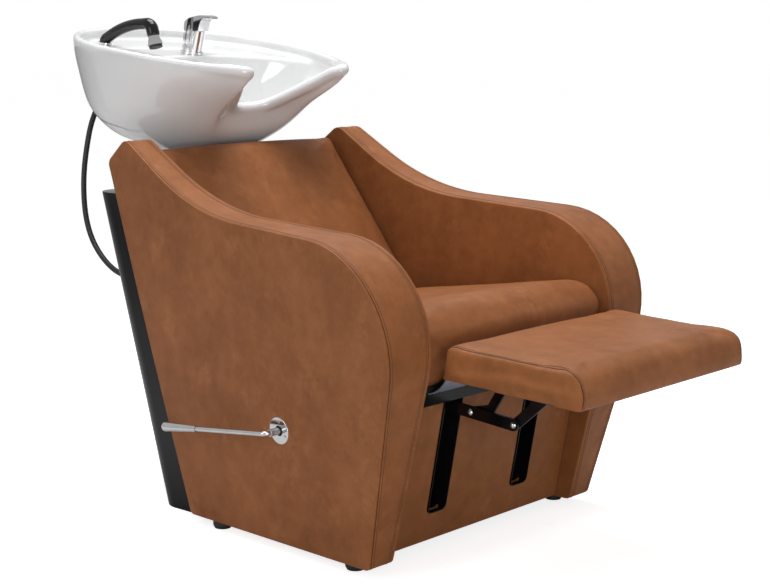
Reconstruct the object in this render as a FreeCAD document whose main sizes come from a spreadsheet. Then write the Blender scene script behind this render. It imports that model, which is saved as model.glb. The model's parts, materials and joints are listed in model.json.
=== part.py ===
import FreeCAD, Part
import math
import os

# Hair washing bed: an upholstered chair with a folding leg rest, a steel rear column
# and a tilting ceramic basin with a mixer tap and a hand shower.
# X runs across the chair (sitter's left is +X), Y from front to rear, Z up from the floor.
# Millimetres. Y = 0 is the middle of the footprint.

Vector = FreeCAD.Vector
document = FreeCAD.newDocument("hair_washing_bed")
sheet = document.addObject("Spreadsheet::Sheet", "Sizes")

SIZES = (
    # side panels, measured on the outer seam
    ("panel_bottom_z", 16, "underside of the side panels"),
    ("panel_inner_x", 270, "inner face of each side panel from the middle"),
    ("panel_front_foot_y", -317.7, "front line of the panel at its underside"),
    ("panel_rear_foot_y", 183, "rear line of the panel at its underside"),
    ("panel_rear_top_y", 395.4, "rear corner of the panel"),
    ("panel_rear_top_z", 705.1, "rear corner of the panel"),
    ("panel_peak_y", 329.5, "highest corner of the panel"),
    ("panel_peak_z", 753.8, "highest corner of the panel"),
    ("panel_bend_y", 117.2, "where the slope meets the arm rest"),
    ("panel_bend_z", 623.3, "where the slope meets the arm rest"),
    ("panel_nose_y", -456.1, "corner of the arm rest before rounding"),
    ("panel_nose_z", 593.2, "corner of the arm rest before rounding"),
    ("panel_foot_round", 12, "rounding of the lower corners"),
    ("panel_rear_round", 16, "rounding of the rear corner"),
    ("panel_peak_round", 26, "rounding of the highest corner"),
    ("panel_bend_round", 528, "rounding of the concave bend"),
    ("panel_nose_round", 194, "rounding of the arm rest front"),
    ("panel_edge_round", 7, "rounding along the panel seams"),
    ("front_foot_thick", 74.9, "panel thickness below the arm rest's front, at the underside"),
    ("front_head_thick", 161, "panel thickness above the arm rest's front, at the peak's height"),
    ("rear_foot_thick", 29.5, "panel thickness below the rear corner, at the underside"),
    ("rear_head_thick", 57.3, "panel thickness above the rear corner, at the peak's height"),
    ("panel_board_thick", 15, "plywood side board"),
    ("side_board_low_z", 40, "lower edge of the side board"),
    ("side_board_top_z", 330, "upper edge of the side board"),
    ("side_board_front_y", -262, "front edge of the side board"),
    ("side_board_rear_y", 140, "rear edge of the side board"),
    # feet
    ("foot_radius", 19, "glide radius"),
    ("foot_pad_radius", 16, "glide radius on the floor"),
    ("foot_front_out", 33, "front glides beyond the panel's inner face"),
    ("foot_rear_out", 22, "rear glides beyond the panel's inner face"),
    ("foot_front_y", -255, "front glides"),
    ("foot_rear_y", 110, "rear glides"),
    ("foot_chamfer", 6, "height of the tapered part of a glide"),
    # steel chassis
    ("rail_size", 30, "square tube of the chassis"),
    ("rail_wall", 2, "tube wall"),
    ("rail_clearance", 0.5, "air between the lower rails and the rear cover"),
    ("lower_rail_z", 24, "underside of the lower rails"),
    ("lower_rail_front_y", -264, "front end of the lower rails"),
    ("cross_front_y", -250, "front face of the front cross rail"),
    ("cross_rear_y", 231, "front face of the rear cross rail"),
    ("post_front_y", -230, "front face of the front posts"),
    ("post_rear_y", 60, "front face of the rear posts"),
    ("seat_frame_z", 297, "underside of the seat frame"),
    ("seat_frame_high", 25, "height of the seat frame tubes"),
    ("seat_frame_rear_y", 130, "rear end of the seat side rails"),
    ("front_rail_y", -342, "front face of the black front rail"),
    ("front_rail_deep", 20, "depth of the black front rail"),
    # seat and back
    ("seat_board_thick", 12, "plywood seat board"),
    ("seat_board_rear_y", 60, "rear edge of the seat board"),
    ("cushion_side_gap", 3, "air between a cushion and a side panel"),
    ("seat_rear_y", 78, "rear edge of the seat cushion's top"),
    ("seat_rear_z", 409, "rear edge of the seat cushion's top"),
    ("seat_rear_low_y", 20, "rear edge of the seat cushion's underside"),
    ("seat_nose_y", -363, "top of the seat nose before rounding"),
    ("seat_nose_z", 474, "top of the seat nose before rounding"),
    ("seat_front_y", -404, "front of the seat nose before rounding"),
    ("seat_front_z", 430, "front of the seat nose before rounding"),
    ("seat_lip_y", -347, "lower front edge of the seat cushion"),
    ("seat_nose_round", 45, "rounding of the seat nose"),
    ("seat_front_round", 30, "rounding under the seat nose"),
    ("cushion_small_round", 13, "rounding of the other cushion edges"),
    ("seat_crown", 9, "extra height in the middle of the seat"),
    ("cushion_end_round", 8, "rounding of a cushion's end seams"),
    ("back_foot_y", 69.1, "front face of the back cushion, lower end"),
    ("back_foot_z", 383.7, "front face of the back cushion, lower end"),
    ("back_head_y", 346, "front face of the back cushion, upper end"),
    ("back_head_z", 739, "front face of the back cushion, upper end"),
    ("back_thick", 55, "thickness of the back cushion"),
    ("back_head_round", 20, "rounding of the back cushion's top"),
    ("back_crown", 7, "swell of the back cushion's face"),
    ("back_board_thick", 12, "plywood back board"),
    ("back_board_gap", 8, "air between the back board and a side panel"),
    ("seat_gap", 0.3, "air where a part rests on an edge"),
    ("back_board_short", 58, "back board's upper edge below the cushion's"),
    # kick panel with its two slots
    ("kick_foot_y", -285, "front face of the kick panel at its underside"),
    ("kick_foot_z", 19, "underside of the kick panel"),
    ("kick_head_y", -337.5, "front face of the kick panel at the front rail"),
    ("kick_thick", 20, "kick panel thickness"),
    ("panel_clearance", 1, "air between the kick panel and a side panel"),
    ("slot_middle_x", 125.5, "middle of each slot"),
    ("slot_wide", 53, "slot width"),
    ("slot_foot_z", 75, "lower end of a slot"),
    ("slot_round", 12, "rounding of a slot's lower corners"),
    ("liner_wall", 2, "steel liner of a slot"),
    ("liner_proud", 1.5, "how far the liner stands out of the leather"),
    ("liner_deep", 70, "how far the liner runs in behind the face"),
    ("liner_head_deep", 38, "liner's depth above its back wall, in front of the arm shaft"),
    ("liner_back_top_z", 225, "upper edge of the liner's back wall"),
    # light grey apron below the seat nose
    ("apron_half", 205, "apron half width"),
    ("apron_thick", 2, "apron sheet"),
    ("apron_foot_z", 319, "apron seat on the front rail"),
    ("apron_bend_y", -369, "apron where it turns up"),
    ("apron_bend_z", 331, "apron where it turns up"),
    ("apron_lip_y", -388, "apron's free edge"),
    ("apron_lip_z", 362, "apron's free edge"),
    # leg rest linkage, side view
    ("arm_pivot_y", -285, "arm shaft axis"),
    ("arm_pivot_z", 287.5, "arm shaft axis"),
    ("arm_tip_y", -476, "front link pivot on the arm"),
    ("arm_tip_z", 271, "front link pivot on the arm"),
    ("arm_mid_share", 0.487, "rear link pivot as a share of the arm"),
    ("link_run_y", -80, "from a link's lower to its upper pivot"),
    ("link_run_z", 70, "from a link's lower to its upper pivot"),
    ("arm_x", 124, "inner face of an arm plate"),
    ("arm_thick", 6, "arm plate"),
    ("arm_half_deep", 11, "half the depth of an arm plate"),
    ("arm_hub_radius", 13, "arm plate round its shaft"),
    ("link_thick", 5, "link plate"),
    ("link_gap", 0.5, "air between moving plates"),
    ("link_radius", 10, "rounded end of a link"),
    ("link_pin_radius", 4, "rivet shank"),
    ("link_knee_y", -420, "knee of the bent rear link"),
    ("link_knee_z", 289, "knee of the bent rear link"),
    ("link_half_deep", 9, "half the depth of a link's bar"),
    ("front_link_flare", 22, "extra width of the front link at its top"),
    ("bolt_head_radius", 6.5, "domed bolt head"),
    ("bolt_head_high", 4, "domed bolt head"),
    ("running_gap", 0.05, "radial air in a running fit"),
    # leg rest pad, side view
    ("pad_rear_y", -419, "rear lower edge of the pad"),
    ("pad_rear_z", 372, "rear lower edge of the pad"),
    ("pad_front_y", -713, "front lower edge of the pad"),
    ("pad_front_z", 358, "front lower edge of the pad"),
    ("pad_rear_top_y", -421, "rear upper edge of the pad"),
    ("pad_rear_top_z", 427, "rear upper edge of the pad"),
    ("pad_front_top_y", -715, "front upper edge of the pad"),
    ("pad_front_top_z", 416, "front upper edge of the pad"),
    ("pad_side_gap", 8, "pad's side inside the panel's inner face"),
    ("pad_nose_round", 32, "rounding of the pad's upper front edge"),
    ("pad_crown", 3, "swell of the pad's top"),
    ("pad_board_thick", 8, "plywood board under the pad"),
    ("pad_board_inset", 14, "board's edge inside the pad's edge"),
    ("bracket_thick", 6, "pad bracket plate"),
    ("bracket_radius", 9, "pad bracket round its pivots"),
    # drive inside the seat box
    ("lever_pivot_y", -106, "lever shaft axis"),
    ("lever_pivot_z", 240, "lever shaft axis"),
    ("shaft_radius", 7, "lever shaft and arm shaft"),
    ("bearing_x", 205, "inner face of a bearing plate"),
    ("bearing_thick", 6, "bearing plate"),
    ("bearing_low_z", 219, "lower edge of a bearing plate"),
    ("bearing_front_y", -300, "front edge of a bearing plate"),
    ("bearing_rear_y", -82, "rear edge of a bearing plate"),
    ("shaft_end_x", 216, "end of a shaft"),
    ("crank_x", 180, "inner face of a crank"),
    ("crank_thick", 6, "crank plate"),
    ("crank_radius", 24, "from a shaft to its crank pin"),
    ("crank_angle", 30, "crank direction at rest, degrees from +Y"),
    ("crank_hub_radius", 12, "crank round its shaft"),
    ("crank_eye_radius", 8, "crank and drive rod round a pin"),
    ("rod_thick", 4, "drive rod plate"),
    ("rod_half_deep", 5, "half the depth of a drive rod"),
    ("crank_pin_radius", 4, "crank pin"),
    # side lever
    ("lever_plane_out", 112, "plane of the lever rod beyond the panel's inner face"),
    ("lever_rod_radius", 4.8, "lever rod"),
    ("lever_bend_radius", 11, "bend of the lever rod"),
    ("lever_rod_long", 188, "rod from the shaft axis to the grip"),
    ("lever_drop", 6.4, "lever below level at rest, degrees"),
    ("grip_long", 97, "lever grip"),
    ("grip_small_radius", 6.2, "grip at the rod"),
    ("grip_large_radius", 9.2, "grip near its end"),
    ("lever_bore_radius", 10, "bore through the panel round the shaft"),
    ("plate_radius", 26, "escutcheon"),
    ("plate_thick", 3, "escutcheon"),
    ("plate_screw_radius", 3.2, "escutcheon screw head"),
    ("plate_screw_reach", 17, "escutcheon screws from its middle"),
    ("plate_screw_high", 1.6, "escutcheon screw head"),
    # rear column cover
    ("cover_side_gap", 2, "air between the rear cover and a side panel"),
    ("cover_rear_y", 333, "rear face of the cover at the floor"),
    ("cover_front_y", 150, "front edge of the cover's sides at the floor"),
    ("cover_lean", 0.3, "rearward lean of the column per unit of height"),
    ("cover_top_z", 630, "upper edge of the cover"),
    ("cover_round", 54, "rounding of the cover's rear corners"),
    ("cover_wall", 2.5, "cover sheet"),
    ("cap_thick", 3, "cap plate of the cover"),
    ("cap_window_half", 98, "window for the basin bracket"),
    ("cap_window_front_y", 370, "front edge of the window"),
    ("cap_window_rear_y", 486, "rear edge of the window"),
    ("cover_screw_radius", 5, "cover screw head"),
    ("cover_screw_high", 2.5, "cover screw head"),
    ("cover_screw_y", 412, "upper cover screws"),
    ("cover_screw_z", 490, "upper cover screws"),
    # mast and tilting bracket
    ("mast_half", 30, "half width of the mast tube"),
    ("mast_deep", 40, "depth of the mast tube"),
    ("mast_wall", 3, "mast tube wall"),
    ("mast_foot_y", 226, "front face of the mast at its foot"),
    ("mast_top_z", 548, "top of the mast"),
    ("yoke_thick", 6, "bracket plate"),
    ("yoke_inner_half", 70, "inner face of a bracket cheek"),
    ("yoke_front_y", 372, "front edge of the bracket"),
    ("yoke_deep", 92, "depth of the bracket"),
    ("tilt_y", 445, "basin tilt axis"),
    ("tilt_z", 655, "basin tilt axis"),
    ("tilt_head_radius", 22, "bracket cheek round the axis"),
    ("tilt_pin_radius", 6, "tilt pin"),
    ("tilt_pin_head_radius", 11, "tilt pin head"),
    ("tilt_pin_head", 5, "tilt pin head thickness"),
    ("ear_thick", 6, "cradle ear"),
    ("ear_gap", 1, "air between an ear and a cheek"),
    ("ear_radius", 16, "cradle ear round the axis"),
    ("cradle_thick", 5, "cradle plate under the basin"),
    ("cradle_half", 82, "cradle plate half width"),
    ("cradle_front_y", 404, "front edge of the cradle plate"),
    ("cradle_deep", 124, "depth of the cradle plate"),
    ("gasket_thick", 4, "rubber ring under the basin"),
    ("gasket_radius", 38, "rubber ring outer radius"),
    ("gasket_bore", 27, "rubber ring bore"),
    # basin
    ("basin_middle_y", 443, "middle of the rim"),
    ("basin_rim_z", 926, "rim plane at the middle"),
    ("basin_tilt", 8.42, "rim slope, degrees"),
    ("basin_half", 276, "largest half width"),
    ("basin_front", 276, "rim plane, middle to the horn tips"),
    ("basin_rear", 284, "rim plane, middle to the rear"),
    ("basin_deep", 221, "rim to the flat bottom"),
    ("rim_wide", 13, "width of the rim"),
    ("deck_drop", 22, "rim down to the tap deck"),
    ("deck_thick", 15, "ceramic at the tap deck"),
    ("bowl_deep", 199, "rim to the bowl's floor"),
    ("deck_edge_v", 26, "deck edge behind the middle, in the rim plane"),
    ("service_half", 152, "half width of the opening at the back"),
    ("service_round", 40, "rounding of the opening at the back"),
    ("bowl_wall", 12, "ceramic behind and below the bowl"),
    ("base_half", 74, "half width of the flat ring under the bowl"),
    ("base_high", 30, "height of the flat ring under the bowl"),
    ("notch_half_mouth", 160, "neck notch half width at its mouth"),
    ("notch_half_back", 50, "neck notch half width at its back"),
    ("notch_long", 280, "neck notch from its mouth to its back"),
    ("notch_lip_y", 336, "middle of the neck lip"),
    ("notch_lip_z", 792, "middle of the neck lip"),
    ("notch_slope_high", 90, "rise of the neck rest's slope"),
    ("notch_slope_deep", 60, "depth over which the neck rest rises"),
    ("notch_round", 60, "rounding of the neck notch's back corners"),
    # waste
    ("drain_y", 445, "waste axis"),
    ("drain_hole_radius", 22.5, "hole in the basin"),
    ("drain_flange_radius", 31, "waste flange"),
    ("drain_flange_thick", 3, "waste flange"),
    ("drain_neck_radius", 22, "threaded neck"),
    ("drain_bore_radius", 17, "waste bore"),
    ("drain_neck_low_z", 672, "lower end of the neck"),
    ("tail_radius", 20, "tailpiece, for a 40 mm waste pipe"),
    ("tail_wall", 2, "tailpiece wall"),
    ("tail_low_z", 604, "lower end of the tailpiece"),
    ("tail_collar_radius", 27, "tailpiece nut"),
    ("tail_collar_high", 18, "tailpiece nut"),
    ("strainer_radius", 24, "strainer cap"),
    ("strainer_thick", 3, "strainer cap"),
    ("strainer_plug_high", 14, "strainer body"),
    ("strainer_hole_radius", 3, "strainer holes"),
    ("strainer_hole_reach", 10, "strainer holes from the middle"),
    # mixer tap, in the frame of the tap deck
    ("mixer_v", 59, "tap axis behind the middle"),
    ("mixer_flange_radius", 25, "tap flange"),
    ("mixer_flange_thick", 5, "tap flange"),
    ("mixer_body_radius", 21.5, "tap body"),
    ("mixer_body_high", 51, "tap body over the deck"),
    ("mixer_shank_radius", 16, "threaded shank"),
    ("mixer_hole_radius", 17, "tap hole"),
    ("mixer_shank_long", 42, "shank below the deck"),
    ("mixer_nut_radius", 26, "backnut"),
    ("mixer_nut_thick", 9, "backnut"),
    ("mixer_inlet_radius", 7.5, "flexible inlet tail, for a 3/8 inch nut"),
    ("mixer_inlet_x", 8, "inlet tails from the tap axis"),
    ("mixer_inlet_long", 34, "inlet tail below the shank"),
    ("cartridge_radius", 12, "cartridge spindle"),
    ("cartridge_deep", 22, "cartridge inside the tap body"),
    ("mixer_nose_radius", 17, "front of the tap body, which leans forwards"),
    ("mixer_nose_foot", 4.5, "axis of the leaning front ahead of the tap axis, at the deck"),
    ("mixer_nose_head", 12, "axis of the leaning front ahead of the tap axis, at its top"),
    ("lever_lift_gap", 0.8, "air between the tap body and the lever"),
    ("lever_pin_radius", 4, "cross pin that the tap lever turns on"),
    ("lever_pin_half", 9, "half length of the cross pin"),
    ("lever_pin_back", 10, "cross pin behind the tap axis"),
    ("lever_room_gap", 0.8, "air beside the cross pin's neck"),
    ("lever_half", 17, "tap lever half width at the body"),
    ("lever_tip_half", 12, "tap lever half width at the tip"),
    ("lever_tip_round", 7, "rounding of the tap lever's tip"),
    ("lever_long", 63, "tap lever's tip ahead of the tap axis"),
    ("lever_high", 36, "tap lever's height over the body"),
    ("shower_x", -130, "hand shower from the middle"),
    ("shower_v", 194, "hand shower behind the middle"),
    ("holder_radius", 15, "hand shower holder flange"),
    ("holder_thick", 4, "hand shower holder flange"),
    ("holder_tube_radius", 12, "holder tube through the deck"),
    ("holder_bore_radius", 9.4, "holder bore"),
    ("holder_hole_radius", 12.5, "hole in the deck for the holder"),
    ("holder_tube_low", 92, "lower end of the holder tube below the rim plane"),
    ("stub_radius", 8.6, "handle stub in the holder"),
    ("stub_low", 84, "lower end of the handle stub below the rim plane"),
    ("handle_radius", 10.5, "hand shower handle"),
    ("handle_bend_round", 11, "handle bend over the holder"),
    ("handle_bend_w", -11.5, "height of the lower bend over the rim plane"),
    ("handle_mid_v", 127.4, "handle's middle, behind the middle"),
    ("handle_mid_w", 30.8, "handle's middle over the rim plane"),
    ("handle_mid_round", 260, "rounding at the handle's middle"),
    ("handle_crest_v", 48, "handle's crest, behind the middle"),
    ("handle_crest_w", 43.5, "handle's crest over the rim plane"),
    ("handle_crest_round", 18, "rounding at the crest"),
    ("handle_head_v", 37.5, "head axis, behind the middle"),
    ("handle_head_w", 21, "top of the shower head over the rim plane"),
    ("head_radius", 17, "chrome shower head"),
    ("head_high", 22, "chrome shower head"),
    ("face_radius", 14, "spray face"),
    ("face_high", 5, "spray face"),
    # shower hose
    ("hose_radius", 6, "shower hose"),
    ("gland_radius", 15, "hose gland on the rear cover"),
    ("gland_long", 14, "hose gland"),
    ("gland_bore", 6.3, "hose gland bore"),
    ("hose_drop", 140, "first bend of the hose below the rim plane"),
)

HOSE_ROUTE = (
    ("hose_a", -136, 684, 766),
    ("hose_b", -146, 690, 712),
    ("hose_c", -156, 690, 658),
    ("hose_d", -164, 683, 605),
    ("hose_e", -172, 667, 556),
    ("hose_f", -181, 638, 515),
    ("hose_g", -189, 599, 484),
    ("hose_h", -195, 561, 464),
    ("hose_i", -199, 528, 453),
    ("hose_j", -200, 500, 450),
    ("hose_k", -200, 475, 450),
)

row = 1
for alias, value, meaning in SIZES:
    sheet.set("A%d" % row, meaning)
    sheet.set("B%d" % row, str(value))
    sheet.setAlias("B%d" % row, alias)
    row += 1
for name, across, along, height in HOSE_ROUTE:
    for suffix, value in (("_x", across), ("_y", along), ("_z", height)):
        sheet.set("A%d" % row, "hose route")
        sheet.set("B%d" % row, str(value))
        sheet.setAlias("B%d" % row, name + suffix)
        row += 1
document.recompute()


def size(alias):
    """A driving dimension as a plain number."""
    return float(sheet.get(alias))


# Helpers for outlines and solids

finished = []


def keep(label, obj):
    """Names a finished sub-part."""
    obj.Label = label
    finished.append(obj)
    return obj


def feature(label, shape, placement=None):
    """A sub-part from a shape, moved by an optional placement."""
    obj = document.addObject("Part::Feature", label)
    obj.Shape = shape
    if placement is not None:
        obj.Placement = placement
    return keep(label, obj)


def bind(obj, **expressions):
    """Binds properties to sheet cells; each word of an expression is a cell."""
    for name, text in expressions.items():
        words = ["Sizes." + word if word[0].isalpha() else word for word in text.split()]
        obj.setExpression(name.replace("__", "."), " ".join(words))


def bound_box(name, x, y, z, wide, deep, high):
    """A box whose corner and sizes are expressions on the sheet."""
    obj = document.addObject("Part::Box", name)
    bind(obj, Length=wide, Width=deep, Height=high,
         Placement__Base__x=x, Placement__Base__y=y, Placement__Base__z=z)
    return obj


def bound_cylinder(name, radius, high, x, y, z, turn=None):
    """A cylinder whose sizes and place are expressions; turn lays it along X or Y."""
    obj = document.addObject("Part::Cylinder", name)
    if turn is not None:
        obj.Placement.Rotation = turn
    bind(obj, Radius=radius, Height=high,
         Placement__Base__x=x, Placement__Base__y=y, Placement__Base__z=z)
    return obj


def boolean(kind, label, base, *tools):
    """Cuts tools from a base one by one, or fuses them all."""
    result = base
    for index, tool in enumerate(tools):
        step = document.addObject("Part::" + kind, "%s_step_%d" % (label, index))
        step.Base = result
        step.Tool = tool
        result = step
    return result


def group(label, members):
    """One node for identical pieces that stay separate solids."""
    obj = document.addObject("Part::Compound", label)
    obj.Links = members
    return keep(label, obj)


def side_point(y, z, x=0):
    return Vector(x, y, z)


def rounded_wire(corners):
    """A closed wire through corners of (point, radius), with tangent arcs."""
    edges = []
    starts = []
    ends = []
    mids = []
    count = len(corners)
    for index, (point, radius) in enumerate(corners):
        before = corners[index - 1][0] - point
        after = corners[(index + 1) % count][0] - point
        before.normalize()
        after.normalize()
        half_angle = before.getAngle(after) / 2
        reach = radius / math.tan(half_angle)
        bisector = before + after
        bisector.normalize()
        starts.append(point + before * reach)
        ends.append(point + after * reach)
        mids.append(point + bisector * (radius / math.sin(half_angle) - radius))
    for index in range(count):
        if corners[index][1] > 0:
            edges.append(Part.Arc(starts[index], mids[index], ends[index]).toShape())
        following = starts[(index + 1) % count]
        edges.append(Part.LineSegment(ends[index], following).toShape())
    return Part.Wire(edges)


def prism(corners, travel):
    """A solid: the rounded outline moved along travel."""
    return Part.Face(rounded_wire(corners)).extrude(travel)


def offset_outline(points, insets):
    """Moves each side of a polygon of (y, z) inwards by its own inset."""
    count = len(points)
    area = sum(points[i][0] * points[(i + 1) % count][1] - points[(i + 1) % count][0] * points[i][1]
               for i in range(count))
    turn = 1 if area > 0 else -1
    lines = []
    for i in range(count):
        y0, z0 = points[i]
        y1, z1 = points[(i + 1) % count]
        length = math.hypot(y1 - y0, z1 - z0)
        normal = (-(z1 - z0) / length * turn, (y1 - y0) / length * turn)
        lines.append((y0 + normal[0] * insets[i], z0 + normal[1] * insets[i], y1 - y0, z1 - z0))
    moved = []
    for i in range(count):
        ya, za, dya, dza = lines[i - 1]
        yb, zb, dyb, dzb = lines[i]
        cross = dya * dzb - dza * dyb
        step = ((yb - ya) * dzb - (zb - za) * dyb) / cross
        moved.append((ya + dya * step, za + dza * step))
    return moved


def cushion(points, radii, swell, half_width, end_round):
    """A cushion lofted across the chair from side outlines, with rounded end seams.

    swell gives, for each side of the outline, how far it bulges in the middle."""
    station_shares = (-1.0, -0.75, -0.5, -0.25, 0.0, 0.25, 0.5, 0.75, 1.0)
    wires = []
    for across in station_shares:
        crown = 1 - across * across
        outline = offset_outline(points, [-side_swell * crown for side_swell in swell])
        corners = [(side_point(y, z, across * half_width), radius)
                   for (y, z), radius in zip(outline, radii)]
        wires.append(rounded_wire(corners))
    solid = Part.makeLoft(wires, True, False)
    seams = [edge for edge in solid.Edges if edge.BoundBox.XLength < end_round / 2]
    return solid.makeFillet(end_round, seams)


def cylinder_x(radius, start_x, end_x, y, z):
    """A cylinder along X from start to end."""
    low = min(start_x, end_x)
    return Part.makeCylinder(radius, abs(end_x - start_x), Vector(low, y, z), Vector(1, 0, 0))


def plate_x(corners, x, thick):
    """A plate in a side plane at x, given by (y, z, radius) corners."""
    placed = [(side_point(y, z, x), radius) for y, z, radius in corners]
    return prism(placed, Vector(thick, 0, 0))


def bar_x(y0, z0, y1, z1, half, x, thick):
    """A flat bar with round ends between two pivots."""
    along = Vector(0, y1 - y0, z1 - z0)
    along.normalize()
    across = Vector(0, -along.z, along.y) * half
    a = side_point(y0, z0, x)
    b = side_point(y1, z1, x)
    tip = along * half
    edges = [
        Part.LineSegment(a + across, b + across).toShape(),
        Part.Arc(b + across, b + tip, b - across).toShape(),
        Part.LineSegment(b - across, a - across).toShape(),
        Part.Arc(a - across, a - tip, a + across).toShape(),
    ]
    return Part.Face(Part.Wire(edges)).extrude(Vector(thick, 0, 0))


def both_sides(x, thick):
    """Low X of the same layer on the sitter's left and right."""
    return (("left", x), ("right", -x - thick))


LAY_X = FreeCAD.Rotation(Vector(0, 1, 0), 90)

# Side panels: an upholstered slab whose outer face leans, tapers and is slightly warped,
# with a plywood board let into its inner face below the seat

inner = size("panel_inner_x")
panel_corners = (
    ("panel_rear_foot_y", "panel_bottom_z", "panel_foot_round"),
    ("panel_rear_top_y", "panel_rear_top_z", "panel_rear_round"),
    ("panel_peak_y", "panel_peak_z", "panel_peak_round"),
    ("panel_bend_y", "panel_bend_z", "panel_bend_round"),
    ("panel_nose_y", "panel_nose_z", "panel_nose_round"),
    ("panel_front_foot_y", "panel_bottom_z", "panel_foot_round"),
)
lever_plane = -inner - size("lever_plane_out")
nose_y = size("panel_nose_y")
nose_z = size("panel_nose_z")
panel_low_z = size("panel_bottom_z")
panel_rear_y = size("panel_rear_top_y")
panel_high_z = size("panel_peak_z")


def outer_face_x(y, z):
    """Distance of a panel's outer face from the middle."""
    back_share = (y - nose_y) / (panel_rear_y - nose_y)
    up_share = (z - panel_low_z) / (panel_high_z - panel_low_z)
    foot = size("front_foot_thick") + back_share * (size("rear_foot_thick") - size("front_foot_thick"))
    head = size("front_head_thick") + back_share * (size("rear_head_thick") - size("front_head_thick"))
    return inner + foot + up_share * (head - foot)


def panel_slab(sign):
    """Everything between the inner face and the leaning outer face."""
    low_y = 2 * nose_y
    high_y = 2 * panel_rear_y
    wires = []
    for y in (low_y, high_y):
        corners = []
        for x, z in ((inner, 0), (outer_face_x(y, 0), 0),
                     (outer_face_x(y, 2 * nose_z), 2 * nose_z), (inner, 2 * nose_z)):
            corners.append(Vector(sign * x, y, z))
        wires.append(Part.makePolygon(corners + [corners[0]]))
    return Part.makeLoft(wires, True, True)


board_box_sizes = (size("panel_board_thick"), size("side_board_rear_y") - size("side_board_front_y"),
                   size("side_board_top_z") - size("side_board_low_z"))
for side, sign in (("left", 1), ("right", -1)):
    outline = [(side_point(size(y), size(z), sign * inner / 2), size(radius))
               for y, z, radius in panel_corners]
    slab = prism(outline, Vector(sign * 2 * inner, 0, 0)).common(panel_slab(sign))
    seam_edges = []
    for edge in slab.Edges:
        if edge.BoundBox.XLength < edge.Length / 2:
            seam_edges.append(edge)
    slab = slab.makeFillet(size("panel_edge_round"), seam_edges)
    low_x = inner if sign > 0 else -inner - size("panel_board_thick")
    pocket = Part.makeBox(*board_box_sizes, Vector(low_x, size("side_board_front_y"), size("side_board_low_z")))
    slab = slab.cut(pocket)
    if side == "right":
        bore = cylinder_x(size("lever_bore_radius"), 0, 2 * lever_plane,
                          size("lever_pivot_y"), size("lever_pivot_z"))
        slab = slab.cut(bore)
    feature("side_panel_" + side, slab)

    board_x = "panel_inner_x" if sign > 0 else "- panel_inner_x - panel_board_thick"
    board = bound_box("board_" + side, board_x, "side_board_front_y", "side_board_low_z",
                      "panel_board_thick", "side_board_rear_y - side_board_front_y",
                      "side_board_top_z - side_board_low_z")
    if side == "right":
        drill = bound_cylinder("board_bore", "lever_bore_radius", "panel_board_thick",
                               board_x, "lever_pivot_y", "lever_pivot_z", LAY_X)
        board = boolean("Cut", "side_board_right", board, drill)
    keep("side_board_" + side, board)

# Feet: round glides with a tapered shoe

for row_name, foot_out, foot_y in (("front", "foot_front_out", "foot_front_y"),
                                   ("rear", "foot_rear_out", "foot_rear_y")):
    members = []
    for side in ("", "-"):
        shoe = document.addObject("Part::Cone", "shoe_" + row_name)
        place_x = " ".join((side, "panel_inner_x", side or "+", foot_out)).strip()
        bind(shoe, Radius1="foot_pad_radius", Radius2="foot_radius", Height="foot_chamfer",
             Placement__Base__x=place_x, Placement__Base__y=foot_y)
        puck = bound_cylinder("puck_" + row_name, "foot_radius", "panel_bottom_z - foot_chamfer",
                              place_x, foot_y, "foot_chamfer")
        members.append(boolean("Fuse", "foot_" + row_name + side.replace("-", "b"), shoe, puck))
    group("feet_" + row_name, members)

# Chassis: square tubes between the side boards


def tube_box(low, extent, axis, wall):
    """A rectangular tube, open along one axis."""
    outer = Part.makeBox(extent.x, extent.y, extent.z, low)
    shift = Vector(wall, wall, wall)
    hollow = extent - shift * 2
    start = low + shift
    setattr(hollow, axis, getattr(extent, axis))
    setattr(start, axis, getattr(low, axis))
    return outer.cut(Part.makeBox(hollow.x, hollow.y, hollow.z, start))


rail = size("rail_size")
wall = size("rail_wall")
rail_z = size("lower_rail_z")
rail_front = size("lower_rail_front_y")
cover_lean = size("cover_lean")
cover_inner_rear = size("cover_rear_y") - size("cover_wall") + cover_lean * rail_z
cover_half = inner - size("cover_side_gap")
cross_half = cover_half - size("cover_wall") - size("rail_clearance") - rail
for side, low_x in both_sides(cross_half, rail):
    tube = tube_box(Vector(low_x, rail_front, rail_z),
                    Vector(rail, cover_inner_rear - rail_front, rail), "y", wall)
    corner_cut = Part.makeBox(rail, size("cover_round"), rail,
                              Vector(low_x, cover_inner_rear - size("cover_round"), rail_z))
    feature("lower_rail_" + side, tube.cut(corner_cut))

cross_rails = []
for y in (size("cross_front_y"), size("cross_rear_y")):
    cross_rails.append(tube_box(Vector(-cross_half, y, rail_z), Vector(2 * cross_half, rail, rail), "x", wall))
feature("cross_rails", Part.makeCompound(cross_rails))

seat_frame_z = size("seat_frame_z")
seat_frame_high = size("seat_frame_high")
posts = []
for y in (size("post_front_y"), size("post_rear_y")):
    for side, low_x in both_sides(inner - rail, rail):
        posts.append(tube_box(Vector(low_x, y, rail_z + rail),
                              Vector(rail, rail, seat_frame_z - rail_z - rail), "z", wall))
feature("frame_posts", Part.makeCompound(posts))

front_rail_rear = size("front_rail_y") + size("front_rail_deep")
seat_rails = []
for side, low_x in both_sides(inner - rail, rail):
    seat_rails.append(tube_box(Vector(low_x, front_rail_rear, seat_frame_z),
                               Vector(rail, size("seat_frame_rear_y") - front_rail_rear, seat_frame_high), "y", wall))
feature("seat_side_rails", Part.makeCompound(seat_rails))

keep("seat_front_rail", bound_box("front_rail", "- panel_inner_x", "front_rail_y", "seat_frame_z",
                                  "panel_inner_x + panel_inner_x",
                                  "front_rail_deep", "seat_frame_high"))

# Seat board and seat cushion

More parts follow.
